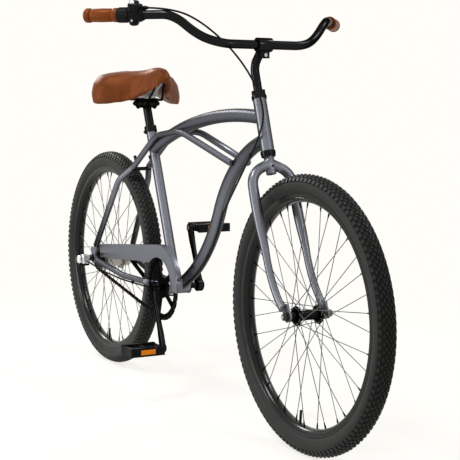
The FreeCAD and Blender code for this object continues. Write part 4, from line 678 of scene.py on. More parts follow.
def oval(length, width, lean=0.0):
    """Six-cornered oval block outline, leaning by a share of its width."""
    points = ((1, 0), (0.45, 1), (-0.45, 1), (-1, 0), (-0.45, -1), (0.45, -1))
    return [(x * length / 2 + lean * z * width / 2, z * width / 2) for x, z in points]


def shoulder(length, width, side):
    """Shoulder block outline with a notched outer end."""
    outer = side * width / 2
    half = length / 2
    return [(-half, -outer), (half, -outer), (0.8 * half, outer), (0.25 * half, 0.8 * outer),
            (-0.25 * half, 0.8 * outer), (-0.8 * half, outer)]


def tyre_mesh(centre, sizes):
    """Casing with a shoulder row and three oval rows on each side, and one row on the crown."""
    parts = [lathe(both_sides(metres(CASING)), centre, SIDE, WHEEL_STEPS)]
    step = 2 * math.pi / sizes.tread_pitches

    def add_block(turn, way, outline, top_size):
        parts.append(tread_block(centre, turn * step, way, outline, sizes.tread_depth, top_size))

    for i in range(sizes.tread_pitches):
        for side in (-1, 1):
            add_block(i, side * SHOULDER_WAY, shoulder(*SHOULDER_BLOCK, side), SHOULDER_TOP)
            for turn, way, length, width, lean in OVAL_ROWS:
                add_block(i + turn, side * way, oval(length, width, side * lean), OVAL_TOP)
        add_block(i, 0.0, oval(*CROWN_BLOCK), CROWN_TOP)
    return join(parts)


def paint_groove_shade(piece, centre):
    """Gives the casing between the tread blocks a darker copy of the rubber, as painted shade in the grooves.
    """
    piece.data.materials.append(finish("groove_painted_shade"))
    low = set()
    for vert in piece.data.vertices:
        x, y, z = vert.co - centre
        radius = math.hypot(x, z)
        if any(math.hypot(radius - r, abs(y) - half) < GROOVE_REACH for r, half in GROOVED):
            low.add(vert.index)
    for face in piece.data.polygons:
        if low.issuperset(face.vertices):
            face.material_index = 1


class CRUISER_OT_tyres(bpy.types.Operator):
    """Balloon tyres with a block tread"""
    bl_idname = "cruiser.tyres"
    bl_label = "Tyres"

    def execute(self, context):
        sizes = context.scene.cruiser_wheels
        for end, centre in WHEELS.items():
            piece = add_piece(end + "_balloon_tyre", *tyre_mesh(centre, sizes), finish("tyre"), crease=40)
            paint_groove_shade(piece, centre)
            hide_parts(end + "_tyre")
            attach(piece, end + "_wheel")
        return {"FINISHED"}


# Rims: a box section with hooked edges and two ridges on each side, (radius, half width) in mm
RIM_SECTION = ((284.2, 12.0), (286.4, 14.0), (286.8, 16.4), (285.8, 17.0), (279.6, 17.1), (278.8, 16.4),
               (277.0, 16.3), (276.2, 16.9), (274.9, 16.4), (270.6, 12.4), (267.9, 9.0), (266.4, 5.0),
               (266.0, 0.0))


class CRUISER_OT_rims(bpy.types.Operator):
    """Black box rims"""
    bl_idname = "cruiser.rims"
    bl_label = "Rims"

    def execute(self, context):
        profile = both_sides(metres(RIM_SECTION))
        for end, centre in WHEELS.items():
            ring = lathe(profile, centre, SIDE, WHEEL_STEPS)
            piece = add_piece(end + "_box_rim", *ring, finish("rim"), crease=30)
            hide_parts(end + "_rim")
            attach(piece, end + "_wheel")
        return {"FINISHED"}


# Spokes: round wires with a bent head in the flange and a nipple at the rim
HUB_SPACING = {"front": 0.060, "rear": 0.058}
HUB_FLANGE = {"front": 0.023, "rear": 0.038}
FLANGE_EDGE = 0.0035
FLANGE_HALF = 0.0016
INSIDE_GAP = 0.00005
OUTSIDE_GAP = 0.0009
ELBOW_BEND = 0.0012
HEAD_STAND = 0.0026
HEAD_HALF = 0.0006
HEAD_RADIUS = 0.002
RIM_HOLE_OFFSET = 0.003
RIM_CLEARANCE = 0.0002
SPOKE_SIDES = 8
# Nipple from the rim inwards, a skirt and a narrower neck: radius and share of its length
NIPPLE = ((0.0, 0.0), (0.0022, 0.0), (0.0022, 0.55), (0.0017, 0.62), (0.0015, 1.0), (0.0, 1.0))


def nipple(start, end):
    """Nipple from its seat in the rim to its neck."""
    span = end - start
    profile = [(r, part * span.length) for r, part in NIPPLE]
    return lathe(profile, start, span.normalized(), SPOKE_SIDES, closed=False)


def spoke_parts(centre, end, sizes):
    """Half the spokes to each flange, alternately ahead and behind, outside and inside."""
    wires = []
    nipples = []
    step = 4 * math.pi / sizes.spoke_count
    hole = HUB_FLANGE[end] - FLANGE_EDGE
    for side in (-1, 1):
        flange_y = side * HUB_SPACING[end] / 2
        for k in range(sizes.spoke_count // 2):
            lead = 1 if k % 2 else -1
            at_rim = step * k + (step / 2 if side > 0 else 0)
            at_hub = at_rim + lead * sizes.spoke_crosses * step
            stand_off = FLANGE_HALF + sizes.spoke_radius + (INSIDE_GAP if lead > 0 else OUTSIDE_GAP)
            head = wheel_point(centre, hole, at_hub, flange_y + side * lead * HEAD_STAND)
            elbow = wheel_point(centre, hole, at_hub, flange_y - side * lead * stand_off)
            seat = wheel_point(centre, sizes.rim_inner - RIM_CLEARANCE, at_rim, side * RIM_HOLE_OFFSET)
            way = (seat - elbow).normalized()
            neck = seat - way * sizes.nipple_length
            button = (head - elbow).normalized() * HEAD_HALF
            wires.append(tube([head, elbow, elbow + way * ELBOW_BEND, neck], sizes.spoke_radius, SPOKE_SIDES))
            wires.append(tube([head - button, head + button], HEAD_RADIUS, SPOKE_SIDES))
            nipples.append(nipple(seat, neck))
    return join(wires), join(nipples)


class CRUISER_OT_spokes(bpy.types.Operator):
    """Crossed wire spokes and their nipples"""
    bl_idname = "cruiser.spokes"
    bl_label = "Spokes"

    def execute(self, context):
        sizes = context.scene.cruiser_wheels
        for end, centre in WHEELS.items():
            wires, nipples = spoke_parts(centre, end, sizes)
            piece = add_piece(end + "_spoke_wires", *wires, finish("spoke"))
            heads = add_piece(end + "_spoke_nipples", *nipples, finish("black metal"))
            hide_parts(end + "_spokes")
            for made in (piece, heads):
                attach(made, end + "_wheel")
        return {"FINISHED"}


# Chain: waisted plates, round rollers and pin ends on the pins of the closed loop
PLATE_HEIGHT = 0.0080
PLATE_WAIST = 0.72
INNER_PLATE = (0.00165, 0.00262)
OUTER_PLATE = (0.00268, 0.00365)
# Half length, radius and sides
ROLLER = (0.00164, 0.0039, 10)
PIN = (0.0041, 0.0017, 8)
CLOSING_ROUNDS = 20


def chain_pins(sizes):
    """Pin places round the chain, found for the pitch that closes it with a whole number of links."""
    centre_line = BOTTOM_BRACKET - REAR_AXLE
    span = centre_line.length
    way = centre_line.normalized()
    up = Vector((-way.z, 0, way.x))

    def lengths(pitch):
        big = sizes.ring_teeth * pitch / (2 * math.pi)
        small = sizes.sprocket_teeth * pitch / (2 * math.pi)
        tilt = math.asin((big - small) / span)
        run = span * math.cos(tilt)
        total = 2 * run + big * (math.pi + 2 * tilt) + small * (math.pi - 2 * tilt)
        return big, small, run, tilt, total

    pitch = sizes.pitch
    count = 2 * round(lengths(pitch)[-1] / pitch / 2)
    for _ in range(CLOSING_ROUNDS):
        pitch = lengths(pitch)[-1] / count
    big, small, run, tilt, _ = lengths(pitch)
    top = math.pi / 2 + tilt
    wrap = big * (math.pi + 2 * tilt)

    def about(centre, radius, angle):
        p = centre + (way * math.cos(angle) + up * math.sin(angle)) * radius
        return Vector((p.x, -sizes.chain_line, p.z))

    def at_ring(angle):
        return about(BOTTOM_BRACKET, big, angle)

    def at_sprocket(angle):
        return about(REAR_AXLE, small, angle)

    pins = []
    for i in range(count):
        s = i * pitch
        if s < run:
            pins.append(at_sprocket(top).lerp(at_ring(top), s / run))
        elif s < run + wrap:
            pins.append(at_ring(top - (s - run) / big))
        elif s < 2 * run + wrap:
            pins.append(at_ring(-top).lerp(at_sprocket(-top), (s - run - wrap) / run))
        else:
            pins.append(at_sprocket(-top - (s - 2 * run - wrap) / small))
    return pins, pitch


def link_outline(pitch):
    """Waisted link plate: two round ends and a narrower middle."""
    r = PLATE_HEIGHT / 2
    points = []
    for end in (1, -1):
        for a in (100, 50, 0, -50, -100):
            x = end * (pitch / 2 + r * math.cos(math.radians(a)))
            points.append((x, end * r * math.sin(math.radians(a))))
        points.append((0, -end * PLATE_WAIST * r))
    return points


class CRUISER_OT_chain(bpy.types.Operator):
    """Roller chain"""
    bl_idname = "cruiser.chain"
    bl_label = "Chain"

    def execute(self, context):
        pins, pitch = chain_pins(context.scene.cruiser_drive)
        plates = []
        rods = []
        outline = link_outline(pitch)
        for i, pin in enumerate(pins):
            after = pins[(i + 1) % len(pins)]
            along = (after - pin).normalized()
            place = Matrix((along, SIDE, along.cross(SIDE))).transposed().to_4x4()
            place.translation = (pin + after) / 2
            inner, outer = INNER_PLATE if i % 2 else OUTER_PLATE
            for side in (-1, 1):
                plates.append(slab(outline, side * inner, side * outer, place))
            for half, radius, sides in (ROLLER, PIN):
                rods.append(tube([pin - SIDE * half, pin + SIDE * half], radius, sides))
        piece = add_piece("roller_chain", *join(plates + rods), finish("chain"))
        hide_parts("chain")
        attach(piece, "frame")
        return {"FINISHED"}


# Cranks: forged arms that narrow towards the middle and bow a little outwards
CRANK_INNER = 0.066
CRANK_OUTER = 0.080
ARM_HALF_WIDTH = 0.0165
ARM_WAIST = 0.0062
ARM_WAIST_PLACE = 1.25
ARM_TAPER = 0.0042
ARM_HALF_THICK = 0.0070
ARM_HOLLOW = 0.0012
ARM_BOW = 0.0006
ARM_ROUNDNESS = 3.2
ARM_RINGS = 24
ARM_SIDES = 20
# Radius and inner end of the bosses at the spindle and at the pedal
SPINDLE_BOSS = (0.0178, CRANK_INNER - 0.004)
PEDAL_BOSS = (0.0124, CRANK_INNER + 0.0003)
BOLT_RECESS = 0.006
CRANK_BOSS_STEPS = 32


def crank_boss(centre, side, radius, inner):
    """Turned boss with chamfered edges and a shallow recess in its outer face."""
    profile = ((0.0, inner), (radius - MM, inner), (radius, inner + MM), (radius, CRANK_OUTER - 2 * MM),
               (radius - 2 * MM, CRANK_OUTER), (BOLT_RECESS + MM, CRANK_OUTER),
               (BOLT_RECESS, CRANK_OUTER - MM), (0.0, CRANK_OUTER - MM))
    return lathe(profile, centre, SIDE * side, CRANK_BOSS_STEPS, closed=False)


def crank_mesh(eye, side):
    """Arm from the bottom bracket to the pedal eye on one side, with its bosses."""
    start = Vector((BOTTOM_BRACKET.x, 0, BOTTOM_BRACKET.z))
    end = Vector((eye.x, 0, eye.z))
    across = (end - start).normalized().cross(SIDE)
    rings = []
    for i in range(ARM_RINGS + 1):
        t = i / ARM_RINGS
        waist = ARM_WAIST * math.sin(math.pi * min(1.0, t * ARM_WAIST_PLACE))
        half = ARM_HALF_WIDTH - waist - ARM_TAPER * t
        thick = ARM_HALF_THICK - ARM_HOLLOW * math.sin(math.pi * t)
        out = side * ((CRANK_INNER + CRANK_OUTER) / 2 + ARM_BOW * math.sin(2 * math.pi * t))
        middle = start.lerp(end, t) + SIDE * out
        rings.append(oval_ring(middle, across * half, SIDE * thick, ARM_ROUNDNESS, ARM_SIDES))
    bosses = [crank_boss(start, side, *SPINDLE_BOSS), crank_boss(end, side, *PEDAL_BOSS)]
    return join([loft(rings), *bosses])


class CRUISER_OT_cranks(bpy.types.Operator):
    """Forged crank arms"""
    bl_idname = "cruiser.cranks"
    bl_label = "Cranks"

    def execute(self, context):
        for side, name in ((-1, "right"), (1, "left")):
            eye = Vector(JOINTS[name + "_pedal_spin"]["pos_m"])
            piece = add_piece(name + "_crank_arm", *crank_mesh(eye, side), finish("black"), crease=32)
            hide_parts(name + "_crank")
            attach(piece, "crankset")
        return {"FINISHED"}


# Pieces that keep their solid's form, with the body each rides and the rounding of its edges
ROUNDED = {
    "right_pedal": ("right_pedal", 0.0030), "left_pedal": ("left_pedal", 0.0030),
    "stem": ("steering", 0.0030), "seat_collar": ("frame", 0.0008),
    "saddle_clamp": ("saddle", 0.0030), "dropouts": ("frame", 0.0008), "brake_arm": ("frame", 0.0008),
    "right_reflectors": ("right_pedal", 0.0008), "left_reflectors": ("left_pedal", 0.0008),
    "chain_guard": ("frame", 0.0010), "head_tube": ("frame", 0.0), "top_tube": ("frame", 0.0),
    "down_tube": ("frame", 0.0), "seat_tube": ("frame", 0.0), "stay_tubes": ("frame", 0.0),
    "chainstays": ("frame", 0.0), "fork": ("steering", 0.0),
}
EDGE_STEPS = 3
EDGE_ANGLE = 40
SHARP_ANGLE = 35

# Fork blades: one long sweep each, thinner towards the axle, where the solid has a straight and a short
# arc. An arc is its start's height over the axle and its radius.
SWEEP = (0.310, 0.8576)
SOLID_ARC = (0.2095, 0.4078)
BLADE_MIDDLE = 0.057
BLADE_INSIDE = 0.04
# Half thickness of a blade at the axle and its growth upwards, in mm: the solid's over a taper, the new
# one's over the whole sweep up to its most
SOLID_TIP, SOLID_GROWTH, SOLID_TAPER = 9.0, 3.7, 0.146
THIN_TIP, THIN_GROWTH, THIN_MOST, THIN_POWER = 7.6, 8.2, 14.2, 0.6
# Heights over which the change of thickness sets in at the axle and fades out at the top
EASE_IN = 0.03
EASE_OUT = 0.06


def arc_lead(height, start, radius):
    """Lead of an arc that leaves the straight blade at start, at a height over the axle."""
    drop = min(max(start - height, 0.0), start)
    return radius - math.sqrt(radius * radius - drop * drop)


def sweep_blades(piece):
    """Bends both blades of the fork into the long sweep and thins them."""
    ahead = SIDE.cross(STEERING_WAY)
    rake = arc_lead(0.0, *SWEEP)
    top = SWEEP[0]
    for vert in piece.data.vertices:
        place = vert.co - FRONT_AXLE
        height = place.dot(STEERING_WAY)
        if height > top or abs(place.y) < BLADE_INSIDE:
            continue
        solid = SOLID_TIP + SOLID_GROWTH * share(height, SOLID_TAPER)
        thin = min(THIN_MOST, THIN_TIP + THIN_GROWTH * share(height, top) ** THIN_POWER)
        scale = 1 + (thin / solid - 1) * min(share(height, EASE_IN), share(top - height, EASE_OUT))
        middle = math.copysign(BLADE_MIDDLE, place.y)
        lead = place.dot(ahead) - (arc_lead(height, *SOLID_ARC) - rake)
        new_lead = arc_lead(height, *SWEEP) - rake + lead * scale
        out = middle + (place.y - middle) * scale
        vert.co = FRONT_AXLE + STEERING_WAY * height + ahead * new_lead + SIDE * out


class CRUISER_OT_rounded_edges(bpy.types.Operator):
    """Smooth tubes, and rounded edges on pedals, stem, guard, clamps and brackets"""
    bl_idname = "cruiser.rounded_edges"
    bl_label = "Rounded Edges"

    def execute(self, context):
        for node, (body, width) in ROUNDED.items():
            material = frame["nodes"][node].material_slots[0].material
            piece = copied(node, node + "_rounded", material, flat=width > 0)
            if width:
                edge = piece.modifiers.new("edge", "BEVEL")
                edge.width = width
                edge.segments = EDGE_STEPS
                edge.limit_method = "ANGLE"
                edge.angle_limit = math.radians(EDGE_ANGLE)
                applied(piece)
            if node == "fork":
                sweep_blades(piece)
            smooth(piece.data)
            piece.data.set_sharp_from_angle(angle=math.radians(SHARP_ANGLE))
            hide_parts(node)
            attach(piece, body)
        return {"FINISHED"}


# Saddle: the cover's own surface made even, swollen by a cloth simulation and seamed at the nose
SADDLE_CAP = 0.006
SWELL_FRAMES = 20
SWELL_PRESSURE = 4.0
COVER_VOXEL = 0.005
# Hem: place along the saddle, how far it hangs and half width there, in mm from the clamp
HEM = ((-130, 3, 100), (-80, 6, 100), (-20, 10, 80), (20, 16, 55), (60, 20, 30), (100, 20, 20),
       (140, 12, 12))
HEM_LEVEL = 75
HEM_DEPTH = 45
NOSE_START = 40
NOSE_RISE = 0.35
TIP_START = 105
TIP_LENGTH = 20
# Seam: middle of its arc from the clamp, in metres, first angle and turn in degrees, lean towards the nose
SEAM_MIDDLE = Vector((0.112, 0, 0.074))
SEAM_START = -35
SEAM_TURN = 250
SEAM_STEPS = 32
SEAM_LEAN = 0.25
SEAM_REACH = 0.2
SEAM_RADIUS = 0.0007
SEAM_SIDES = 6
SEAM_LIFT = 0.0001
PAN_LENGTH = 0.95
PAN_WIDTH = 0.82
# Boss beside the clamp, a plate, a nut and a bolt end: radius and distance from the middle plane in mm
BOSS = ((0.0, 24.0), (14.0, 24.0), (16.0, 25.2), (16.0, 28.0), (14.6, 29.0), (11.2, 29.4), (10.6, 32.0),
        (7.4, 33.0), (7.2, 38.6), (4.2, 39.4), (4.0, 42.0), (0.0, 42.6))
BOSS_STEPS = 28


def swell(piece):
    """Cloth with inner pressure for some frames; no point moves further than the cap."""
    cloth = piece.modifiers.new("stuffing", "CLOTH")
    settings = cloth.settings
    settings.quality = 5
    settings.use_pressure = True
    settings.uniform_pressure_force = SWELL_PRESSURE
    settings.effector_weights.gravity = 0.0
    before = [v.co.copy() for v in piece.data.vertices]
    scene = bpy.context.scene
    for step in range(1, SWELL_FRAMES + 1):
        scene.frame_set(step)
    applied(piece)
    scene.frame_set(1)
    for vert, old in zip(piece.data.vertices, before):
        move = vert.co - old
        if move.length > SADDLE_CAP:
            vert.co = old + move.normalized() * SADDLE_CAP


def stuff_cover(piece):
    """Evens the cover's mesh, swells it and smooths it."""
    voxel = piece.modifiers.new("even", "REMESH")
    voxel.mode = "VOXEL"
    voxel.voxel_size = COVER_VOXEL
    applied(piece)
    swell(piece)
    relax = piece.modifiers.new("relax", "SMOOTH")
    relax.factor = 0.5
    relax.iterations = 4
    finer = piece.modifiers.new("finer", "SUBSURF")
    finer.levels = 1
    applied(piece)


def hem_at(x):
    """Hang and half width of the hem at one place along the saddle."""
    for (x0, hang0, half0), (x1, hang1, half1) in zip(HEM, HEM[1:]):
        if x <= x1:
            t = share(x - x0, x1 - x0)
            return hang0 + t * (hang1 - hang0), half0 + t * (half1 - half0)
    return HEM[-1][1:]


def hang_skirt(piece):
    """Draws the hem down along both sides and round the nose."""
    for vert in piece.data.vertices:
        x, y, z = (vert.co - SADDLE_PIVOT) / MM
        hang, half = hem_at(x)
        level = HEM_LEVEL + NOSE_RISE * max(0.0, x - NOSE_START)
        low = share(level - z, HEM_DEPTH)
        tip = share(x - TIP_START, TIP_LENGTH)
        vert.co.z -= MM * low * hang * min(1.0, max(tip, (y / half) ** 2))


def seam_points(piece):
    """Points on the cover over the nose, from one hem to the other."""
    middle = SADDLE_PIVOT + SEAM_MIDDLE
    points = []
    for i in range(SEAM_STEPS + 1):
        a = math.radians(SEAM_START + SEAM_TURN * i / SEAM_STEPS)
        out = Vector((SEAM_LEAN * math.sin(a), math.cos(a), math.sin(a))).normalized()
        hit, place, normal, _ = piece.ray_cast(middle + out * SEAM_REACH, -out)
        if hit:
            points.append(place + normal * SEAM_LIFT)
    return points


def tuck_pan():
    """Saddle base drawn in from the hem."""
    pan = copied("saddle_pan", "saddle_base", finish("grey plastic"))
    for vert in pan.data.vertices:
        x, y, z = vert.co - SADDLE_PIVOT
        vert.co = SADDLE_PIVOT + Vector((PAN_LENGTH * x, PAN_WIDTH * y, z))
    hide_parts("saddle_pan")
    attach(pan, "saddle")


def clamp_bosses():
    """Round plates, nuts and bolt ends at both sides of the saddle clamp."""
    profile = metres(BOSS)
    sides = [lathe(profile, SADDLE_PIVOT, SIDE * side, BOSS_STEPS, closed=False) for side in (-1, 1)]
    bosses = add_piece("saddle_clamp_bosses", *join(sides), finish("black metal"), crease=40)
    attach(bosses, "saddle")


class CRUISER_OT_saddle(bpy.types.Operator):
    """Wide padded saddle cover with its seam, base and clamp bosses"""
    bl_idname = "cruiser.saddle"
    bl_label = "Saddle"

    def execute(self, context):
        piece = copied("saddle_cover", "saddle_cushion", finish("saddle"))
        stuff_cover(piece)
        hang_skirt(piece)
        smooth(piece.data)
        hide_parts("saddle_cover")
        context.view_layer.update()
        thread = tube(seam_points(piece), SEAM_RADIUS, SEAM_SIDES)
        seam = add_piece("saddle_nose_seam", *thread, finish("thread"))
        for made in (piece, seam):
            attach(made, "saddle")
        tuck_pan()
        clamp_bosses()
        return {"FINISHED"}


# Handlebar: half of its route from the tip to the level middle, in mm from the middle of the bar
BAR_HALF = ((-243, 366, 69.5), (-106, 257.1, 69.1), (-58, 219, 69), (-29, 167, 18.5), (0, 115, 0),
            (0, 60, 0))
BAR_RADIUS = 0.0111
BAR_SIDES = 28
BAR_TIP = RING_MIDDLE + BAR_WAY * 0.10135


def on_bar(distance, up=0.0, lead=0.0):
    """Point by its distance inboard of the right grip's tip in mm, its height and its lead in metres."""
    return BAR_TIP - BAR_WAY * (distance * MM) + UP * up + BAR_FRONT * lead


class CRUISER_OT_handlebar(bpy.types.Operator):
    """Swept handlebar, one long curve from the stem to each elbow"""
    bl_idname = "cruiser.handlebar"
    bl_label = "Handlebar"

    def execute(self, context):
        right = [Vector((x, -y, z)) for x, y, z in BAR_HALF]
        left = [Vector(place) for place in reversed(BAR_HALF)]
        middle = BAR_TIP / MM - right[0]
        route = smooth_route([middle + place for place in right + left])
        piece = add_piece("swept_handlebar", *tube(route, BAR_RADIUS, BAR_SIDES), finish("black"))
        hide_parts("handlebar")
        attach(piece, "steering")
        return {"FINISHED"}


# Grips: turned barrels with a flange at the tip and a band at the inner end
RIGHT_GRIP = 88.0
LEFT_GRIP = 128.0
GRIP_BAND = 15.0
BAR_STEPS = 40


def grip_profile(length):
    """Grip outline from its tip inwards."""
    band = length - GRIP_BAND
    return inboard((
        (0, -5), (12.5, -5), (15.6, -4.2), (17.4, -2.2), (18.0, 1), (18.0, 9), (17.2, 11), (15.0, 12),
        (14.8, 13.2), (15.6, 14.4), (16.5, 17), (17.1, 0.5 * length), (16.5, band - 4), (15.5, band - 1.6),
        (14.8, band - 0.4), (15.0, band + 0.8), (16.8, band + 1.8), (17.6, band + 4), (17.6, length - 1.2),
        (16.8, length), (11.1, length)))


class CRUISER_OT_grips(bpy.types.Operator):
    """Tan grips at both ends of the bar"""
    bl_idname = "cruiser.grips"
    bl_label = "Grips"

    def execute(self, context):
        left_tip = Vector((BAR_TIP.x, -BAR_TIP.y, BAR_TIP.z))
        left_way = Vector((BAR_WAY.x, -BAR_WAY.y, BAR_WAY.z))
        ends = ((RIGHT_GRIP, BAR_TIP, BAR_WAY), (LEFT_GRIP, left_tip, left_way))
        parts = [lathe(grip_profile(length), tip, way, BAR_STEPS, closed=False) for length, tip, way in ends]
        piece = add_piece("bar_grips", *join(parts), finish("grip"), crease=50)
        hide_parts("grips")
        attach(piece, "steering")
        return {"FINISHED"}


# Shifter: a barrel on the bar with a pod above it, a bulge below it and a cable stop; the turned outlines
# are (radius, distance inboard of the grip's tip) in mm
SHIFTER_BARREL = ((11.15, 115.0), (16.4, 115.0), (17.2, 116.2), (17.2, 119.0), (15.2, 120.0), (15.2, 122.0),
                  (17.6, 123.4), (17.8, 146.0), (16.6, 150.5), (14.0, 156.0), (12.6, 158.6), (11.15, 158.6))
CABLE_STOP = ((0.0, 146), (5.6, 146), (5.6, 152), (4.6, 153), (4.6, 156), (5.2, 157), (5.2, 163), (4.2, 164),
              (3.4, 168.6), (0.0, 168.6))
CABLE_STOP_UP = 0.0165
CABLE_STOP_STEPS = 20
# Pods: outer and inner end in mm, then in metres the height of each, the lead, half height and half depth,
# and last the roundness of section and ends where it isn't the usual
SHIFTER_PODS = (
    (119.5, 151, 0.017, 0.015, 0.004, 0.0125, 0.0165),
    (124, 143, 0.0275, 0.0265, 0.006, 0.0085, 0.0115),
    (121, 143, -0.0150, -0.0140, 0.003, 0.0125, 0.0130, 3, 3),
)
SHIFTER_WINDOW = (127, 139, 0.0285, 0.0280, 0.0125, 0.0055, 0.0056)
SCREW_PLACE = (132, -0.015, 0.0158)
SCREW_HEAD = ((0.0, 0.0), (3.0, 0.0), (3.0, 1.2), (2.4, 2.0), (1.2, 2.0), (0.0, 1.2))
SCREW_STEPS = 16


def bar_pod(outer, inner, outer_up, inner_up, lead, half_height, half_depth, *roundness):
    """Pod along the right end of the bar."""
    return pod(on_bar(outer, outer_up, lead), on_bar(inner, inner_up, lead),
               UP * half_height, BAR_FRONT * half_depth, *roundness)


def shifter_mesh():
    """Barrel, pods and cable stop as one housing."""
    barrel = lathe(inboard(SHIFTER_BARREL), BAR_TIP, BAR_WAY, BAR_STEPS, closed=False)
    stop = lathe(inboard(CABLE_STOP), on_bar(0, CABLE_STOP_UP), BAR_WAY, CABLE_STOP_STEPS, closed=False)
    return join([barrel, *[bar_pod(*sizes) for sizes in SHIFTER_PODS], stop])


class CRUISER_OT_shifter(bpy.types.Operator):
    """Twist shifter housing, its window and its screw"""
    bl_idname = "cruiser.shifter"
    bl_label = "Shifter"

    def execute(self, context):
        piece = add_piece("shifter_housing", *shifter_mesh(), finish("plastic"), crease=40)
        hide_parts("shifter_body")
        window = add_piece("shifter_window", *bar_pod(*SHIFTER_WINDOW), finish("silver"), crease=40)
        head = lathe(metres(SCREW_HEAD), on_bar(*SCREW_PLACE), BAR_FRONT, SCREW_STEPS, closed=False)
        screw = add_piece("shifter_screw", *head, finish("steel"))
        for made in (piece, window, screw):
            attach(made, "steering")
        return {"FINISHED"}


# Shift box on the right end of the rear axle; pods are start and end outwards, half height and half length,
# and the roundness of section and ends where it isn't the usual
BOX_SEAT = Vector((-0.5705, -0.0800, 0.3310))
BOX_BODY = (0.0, 0.027, 0.0148, 0.0130)
BOX_NOSE = (0.018, 0.039, 0.0125, 0.0108, 3, 4)
BOX_CLIP = (0.001, 0.034, 0.0034, 0.0085)
CLIP_DROP = 0.0170


def box_pod(seat, start, end, half_height, half_length, *roundness):
    """Pod that stands outwards from the rear axle's right end."""
    return pod(seat - SIDE * start, seat - SIDE * end, UP * half_height, AHEAD * half_length, *roundness)


class CRUISER_OT_shift_box(bpy.types.Operator):
    """Gear box on the right end of the rear axle, with the clip below it"""
    bl_idname = "cruiser.shift_box"
    bl_label = "Shift Box"

    def execute(self, context):
        pods = [box_pod(BOX_SEAT, *sizes) for sizes in (BOX_BODY, BOX_NOSE)]
        shell = add_piece("shift_box_shell", *join(pods), finish("silver"), crease=40)
        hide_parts("shift_box")
        clip = box_pod(BOX_SEAT - UP * CLIP_DROP, *BOX_CLIP)
        lever = add_piece("shift_box_clip", *clip, finish("plastic"), crease=40)
        for made in (shell, lever):
            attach(made, "frame")
        return {"FINISHED"}


# Upper cable: its route, the same points as the solid has
UPPER_CABLE = (
    (244.9, -260.6, 1055.9), (296.3, -220, 1053.2), (324.3, -158, 1024.2), (342.3, -80, 958.2),
    (372.3, -34, 880.2), (391.8, -13, 799.6), (368.4, -26, 726), (346.1, -23.8, 707.3), (336.3, -22.8, 698.3),
)
CABLE_RADIUS = 0.0025
CABLE_SIDES = 10


class CRUISER_OT_cable(bpy.types.Operator):
    """Shift cable from the shifter to the down tube"""
    bl_idname = "cruiser.cable"
    bl_label = "Cable"

    def execute(self, context):
        path = smooth_route(UPPER_CABLE)
        piece = add_piece("shift_cable", *tube(path, CABLE_RADIUS, CABLE_SIDES), finish("rubber"))
        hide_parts("cable_upper")
        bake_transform(piece)
        return {"FINISHED"}


# Studio: a pale floor and surroundings, and soft lamps by name, place, target, width, height and power
LAMPS = (
    ("key", (0.2, -1.9, 3.8), (0, 0, 0.6), 0.9, 0.8, 92),
    ("strip", (-0.9, -3.3, 1.1), (0, 0, 0.6), 0.45, 1.9, 54),
    ("front", (4.2, 1.4, 2.4), (0.2, 0, 0.6), 0.5, 1.1, 24),
    ("rim", (-3.6, -0.5, 2.7), (0, 0, 0.6), 1.0, 0.9, 80),
    ("back", (0.8, 2.4, 3.6), (0, 0, 0.7), 0.9, 0.8, 55),
)
FLOOR_REACH = 30.0
FLOOR_COLOUR = (0.95, 0.945, 0.92)
BACKDROP = (1.0, 0.985, 0.945, 1)
ROOM_LIGHT = 0.28
SENSOR_WIDTH = 36.0


def soft_light(name, place, target, width, height, power):
    """Rectangular lamp that looks from its place at its target."""
    lamp = bpy.data.lights.new(name, "AREA")
    lamp.shape = "RECTANGLE"
    lamp.size = width
    lamp.size_y = height
    lamp.energy = power
    light = add_object(name, lamp)
    light.location = place
    light.rotation_euler = (Vector(target) - Vector(place)).to_track_quat("-Z", "Y").to_euler()


def camera_test(tree):
    """Node that gives one where a camera, glossy or transmission ray asks, nought elsewhere."""
    path = add_node(tree, "LightPath")
    first = add_node(tree, "Math", operation="MAXIMUM")
    second = add_node(tree, "Math", operation="MAXIMUM")
    wire(tree,
         (path, "Is Camera Ray", first, 0), (path, "Is Glossy Ray", first, 1),
         (first, 0, second, 0), (path, "Is Transmission Ray", second, 1))
    return second


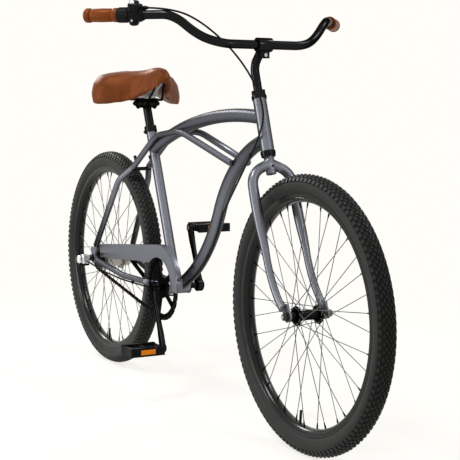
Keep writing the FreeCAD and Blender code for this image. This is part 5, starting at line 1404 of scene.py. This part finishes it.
class CRUISER_OT_studio(bpy.types.Operator):
    """Pale floor, soft light and the camera"""
    bl_idname = "cruiser.studio"
    bl_label = "Studio"

    def execute(self, context):
        scene = context.scene
        scene.view_settings.view_transform = "Standard"
        self.add_floor()
        self.add_world(scene)
        for lamp in LAMPS:
            soft_light(*lamp)
        self.add_camera(scene, scene.cruiser_stage)
        return {"FINISHED"}

    def add_floor(self):
        """Matt floor that also glows for the camera, a little less in a round spot under the bicycle."""
        material, tree, shader = new_finish("studio floor", FLOOR_COLOUR, 0.9)
        glow = add_node(tree, "Emission", {"Color": BACKDROP})
        mix = add_node(tree, "MixShader")
        place = add_node(tree, "TexCoord")
        scale = add_node(tree, "VectorMath", {"Scale": 0.45}, operation="SCALE")
        spot = add_node(tree, "TexGradient", gradient_type="SPHERICAL")
        fade = add_node(tree, "MapRange", {"From Max": 0.6, "To Min": 1.0, "To Max": 0.8},
                        interpolation_type="SMOOTHSTEP")
        part = add_node(tree, "Math", operation="MULTIPLY")
        wire(tree,
             (place, "Object", scale, 0), (scale, "Vector", spot, "Vector"), (spot, "Fac", fade, "Value"),
             (camera_test(tree), 0, part, 0), (fade, "Result", part, 1), (part, 0, mix, "Fac"),
             (shader, "BSDF", mix, 1), (glow, "Emission", mix, 2),
             (mix, "Shader", tree.nodes["Material Output"], "Surface"))
        corners = [Vector((x, y, 0)) * FLOOR_REACH for x, y in ((-1, -1), (1, -1), (1, 1), (-1, 1))]
        floor = add_piece("floor", corners, [[0, 1, 2, 3]], material)

    def add_world(self, scene):
        """Dim white light all round, with the floor's own tone behind it for the camera."""
        world = bpy.data.worlds.new("studio")
        scene.world = world
        world.use_nodes = True
        tree = world.node_tree
        plain = tree.nodes["Background"]
        set_inputs(plain, {"Color": (1, 1, 1, 1), "Strength": ROOM_LIGHT})
        white = add_node(tree, "Background", {"Color": BACKDROP, "Strength": 1.0})
        mix = add_node(tree, "MixShader")
        wire(tree,
             (camera_test(tree), 0, mix, "Fac"), (plain, "Background", mix, 1), (white, "Background", mix, 2),
             (mix, "Shader", tree.nodes["World Output"], "Surface"))

    def add_camera(self, scene, stage):
        """Camera at the stage's place, turned by its angles."""
        a = stage.azimuth
        e = stage.elevation
        back = Vector((math.sin(a) * math.cos(e), -math.cos(a) * math.cos(e), math.sin(e)))
        right = Vector((math.cos(a), math.sin(a), 0))
        turn = Matrix((right, back.cross(right), back)).transposed() @ Matrix.Rotation(stage.roll, 3, "Z")
        lens = bpy.data.cameras.new("photo view")
        lens.lens = stage.lens
        lens.sensor_width = SENSOR_WIDTH
        lens.shift_x = stage.shift_x
        lens.shift_y = stage.shift_y
        camera = add_object("photo view", lens)
        camera.matrix_world = Matrix.Translation(stage.camera_place) @ turn.to_4x4()
        scene.camera = camera


OPERATORS = (
    CRUISER_OT_finish_frame, CRUISER_OT_tyres, CRUISER_OT_rims, CRUISER_OT_spokes, CRUISER_OT_chain,
    CRUISER_OT_cranks, CRUISER_OT_rounded_edges, CRUISER_OT_saddle, CRUISER_OT_grips, CRUISER_OT_shifter,
    CRUISER_OT_shift_box, CRUISER_OT_handlebar, CRUISER_OT_cable, CRUISER_OT_studio,
)
SETTINGS = {
    "cruiser_wheels": CruiserWheelSizes,
    "cruiser_drive": CruiserDriveSizes,
    "cruiser_colours": CruiserColours,
    "cruiser_stage": CruiserStage,
}


class CRUISER_PT_panel(bpy.types.Panel):
    """Sidebar panel with the settings and every step"""
    bl_idname = "CRUISER_PT_panel"
    bl_label = "Beach Cruiser"
    bl_space_type = "VIEW_3D"
    bl_region_type = "UI"
    bl_category = "Cruiser"

    def draw(self, context):
        for group in SETTINGS:
            settings = getattr(context.scene, group)
            box = self.layout.box()
            for name in settings.__annotations__:
                box.prop(settings, name)
        for operator in OPERATORS:
            self.layout.operator(operator.bl_idname)


CLASSES = (*SETTINGS.values(), *OPERATORS, CRUISER_PT_panel)


def register():
    for cls in CLASSES:
        bpy.utils.register_class(cls)
    for name, cls in SETTINGS.items():
        setattr(bpy.types.Scene, name, bpy.props.PointerProperty(type=cls))


def unregister():
    for name in SETTINGS:
        delattr(bpy.types.Scene, name)
    for cls in reversed(CLASSES):
        bpy.utils.unregister_class(cls)


def main():
    register()
    for operator in OPERATORS:
        group, name = operator.bl_idname.split(".")
        getattr(getattr(bpy.ops, group), name)()


if __name__ == "__main__":
    main()
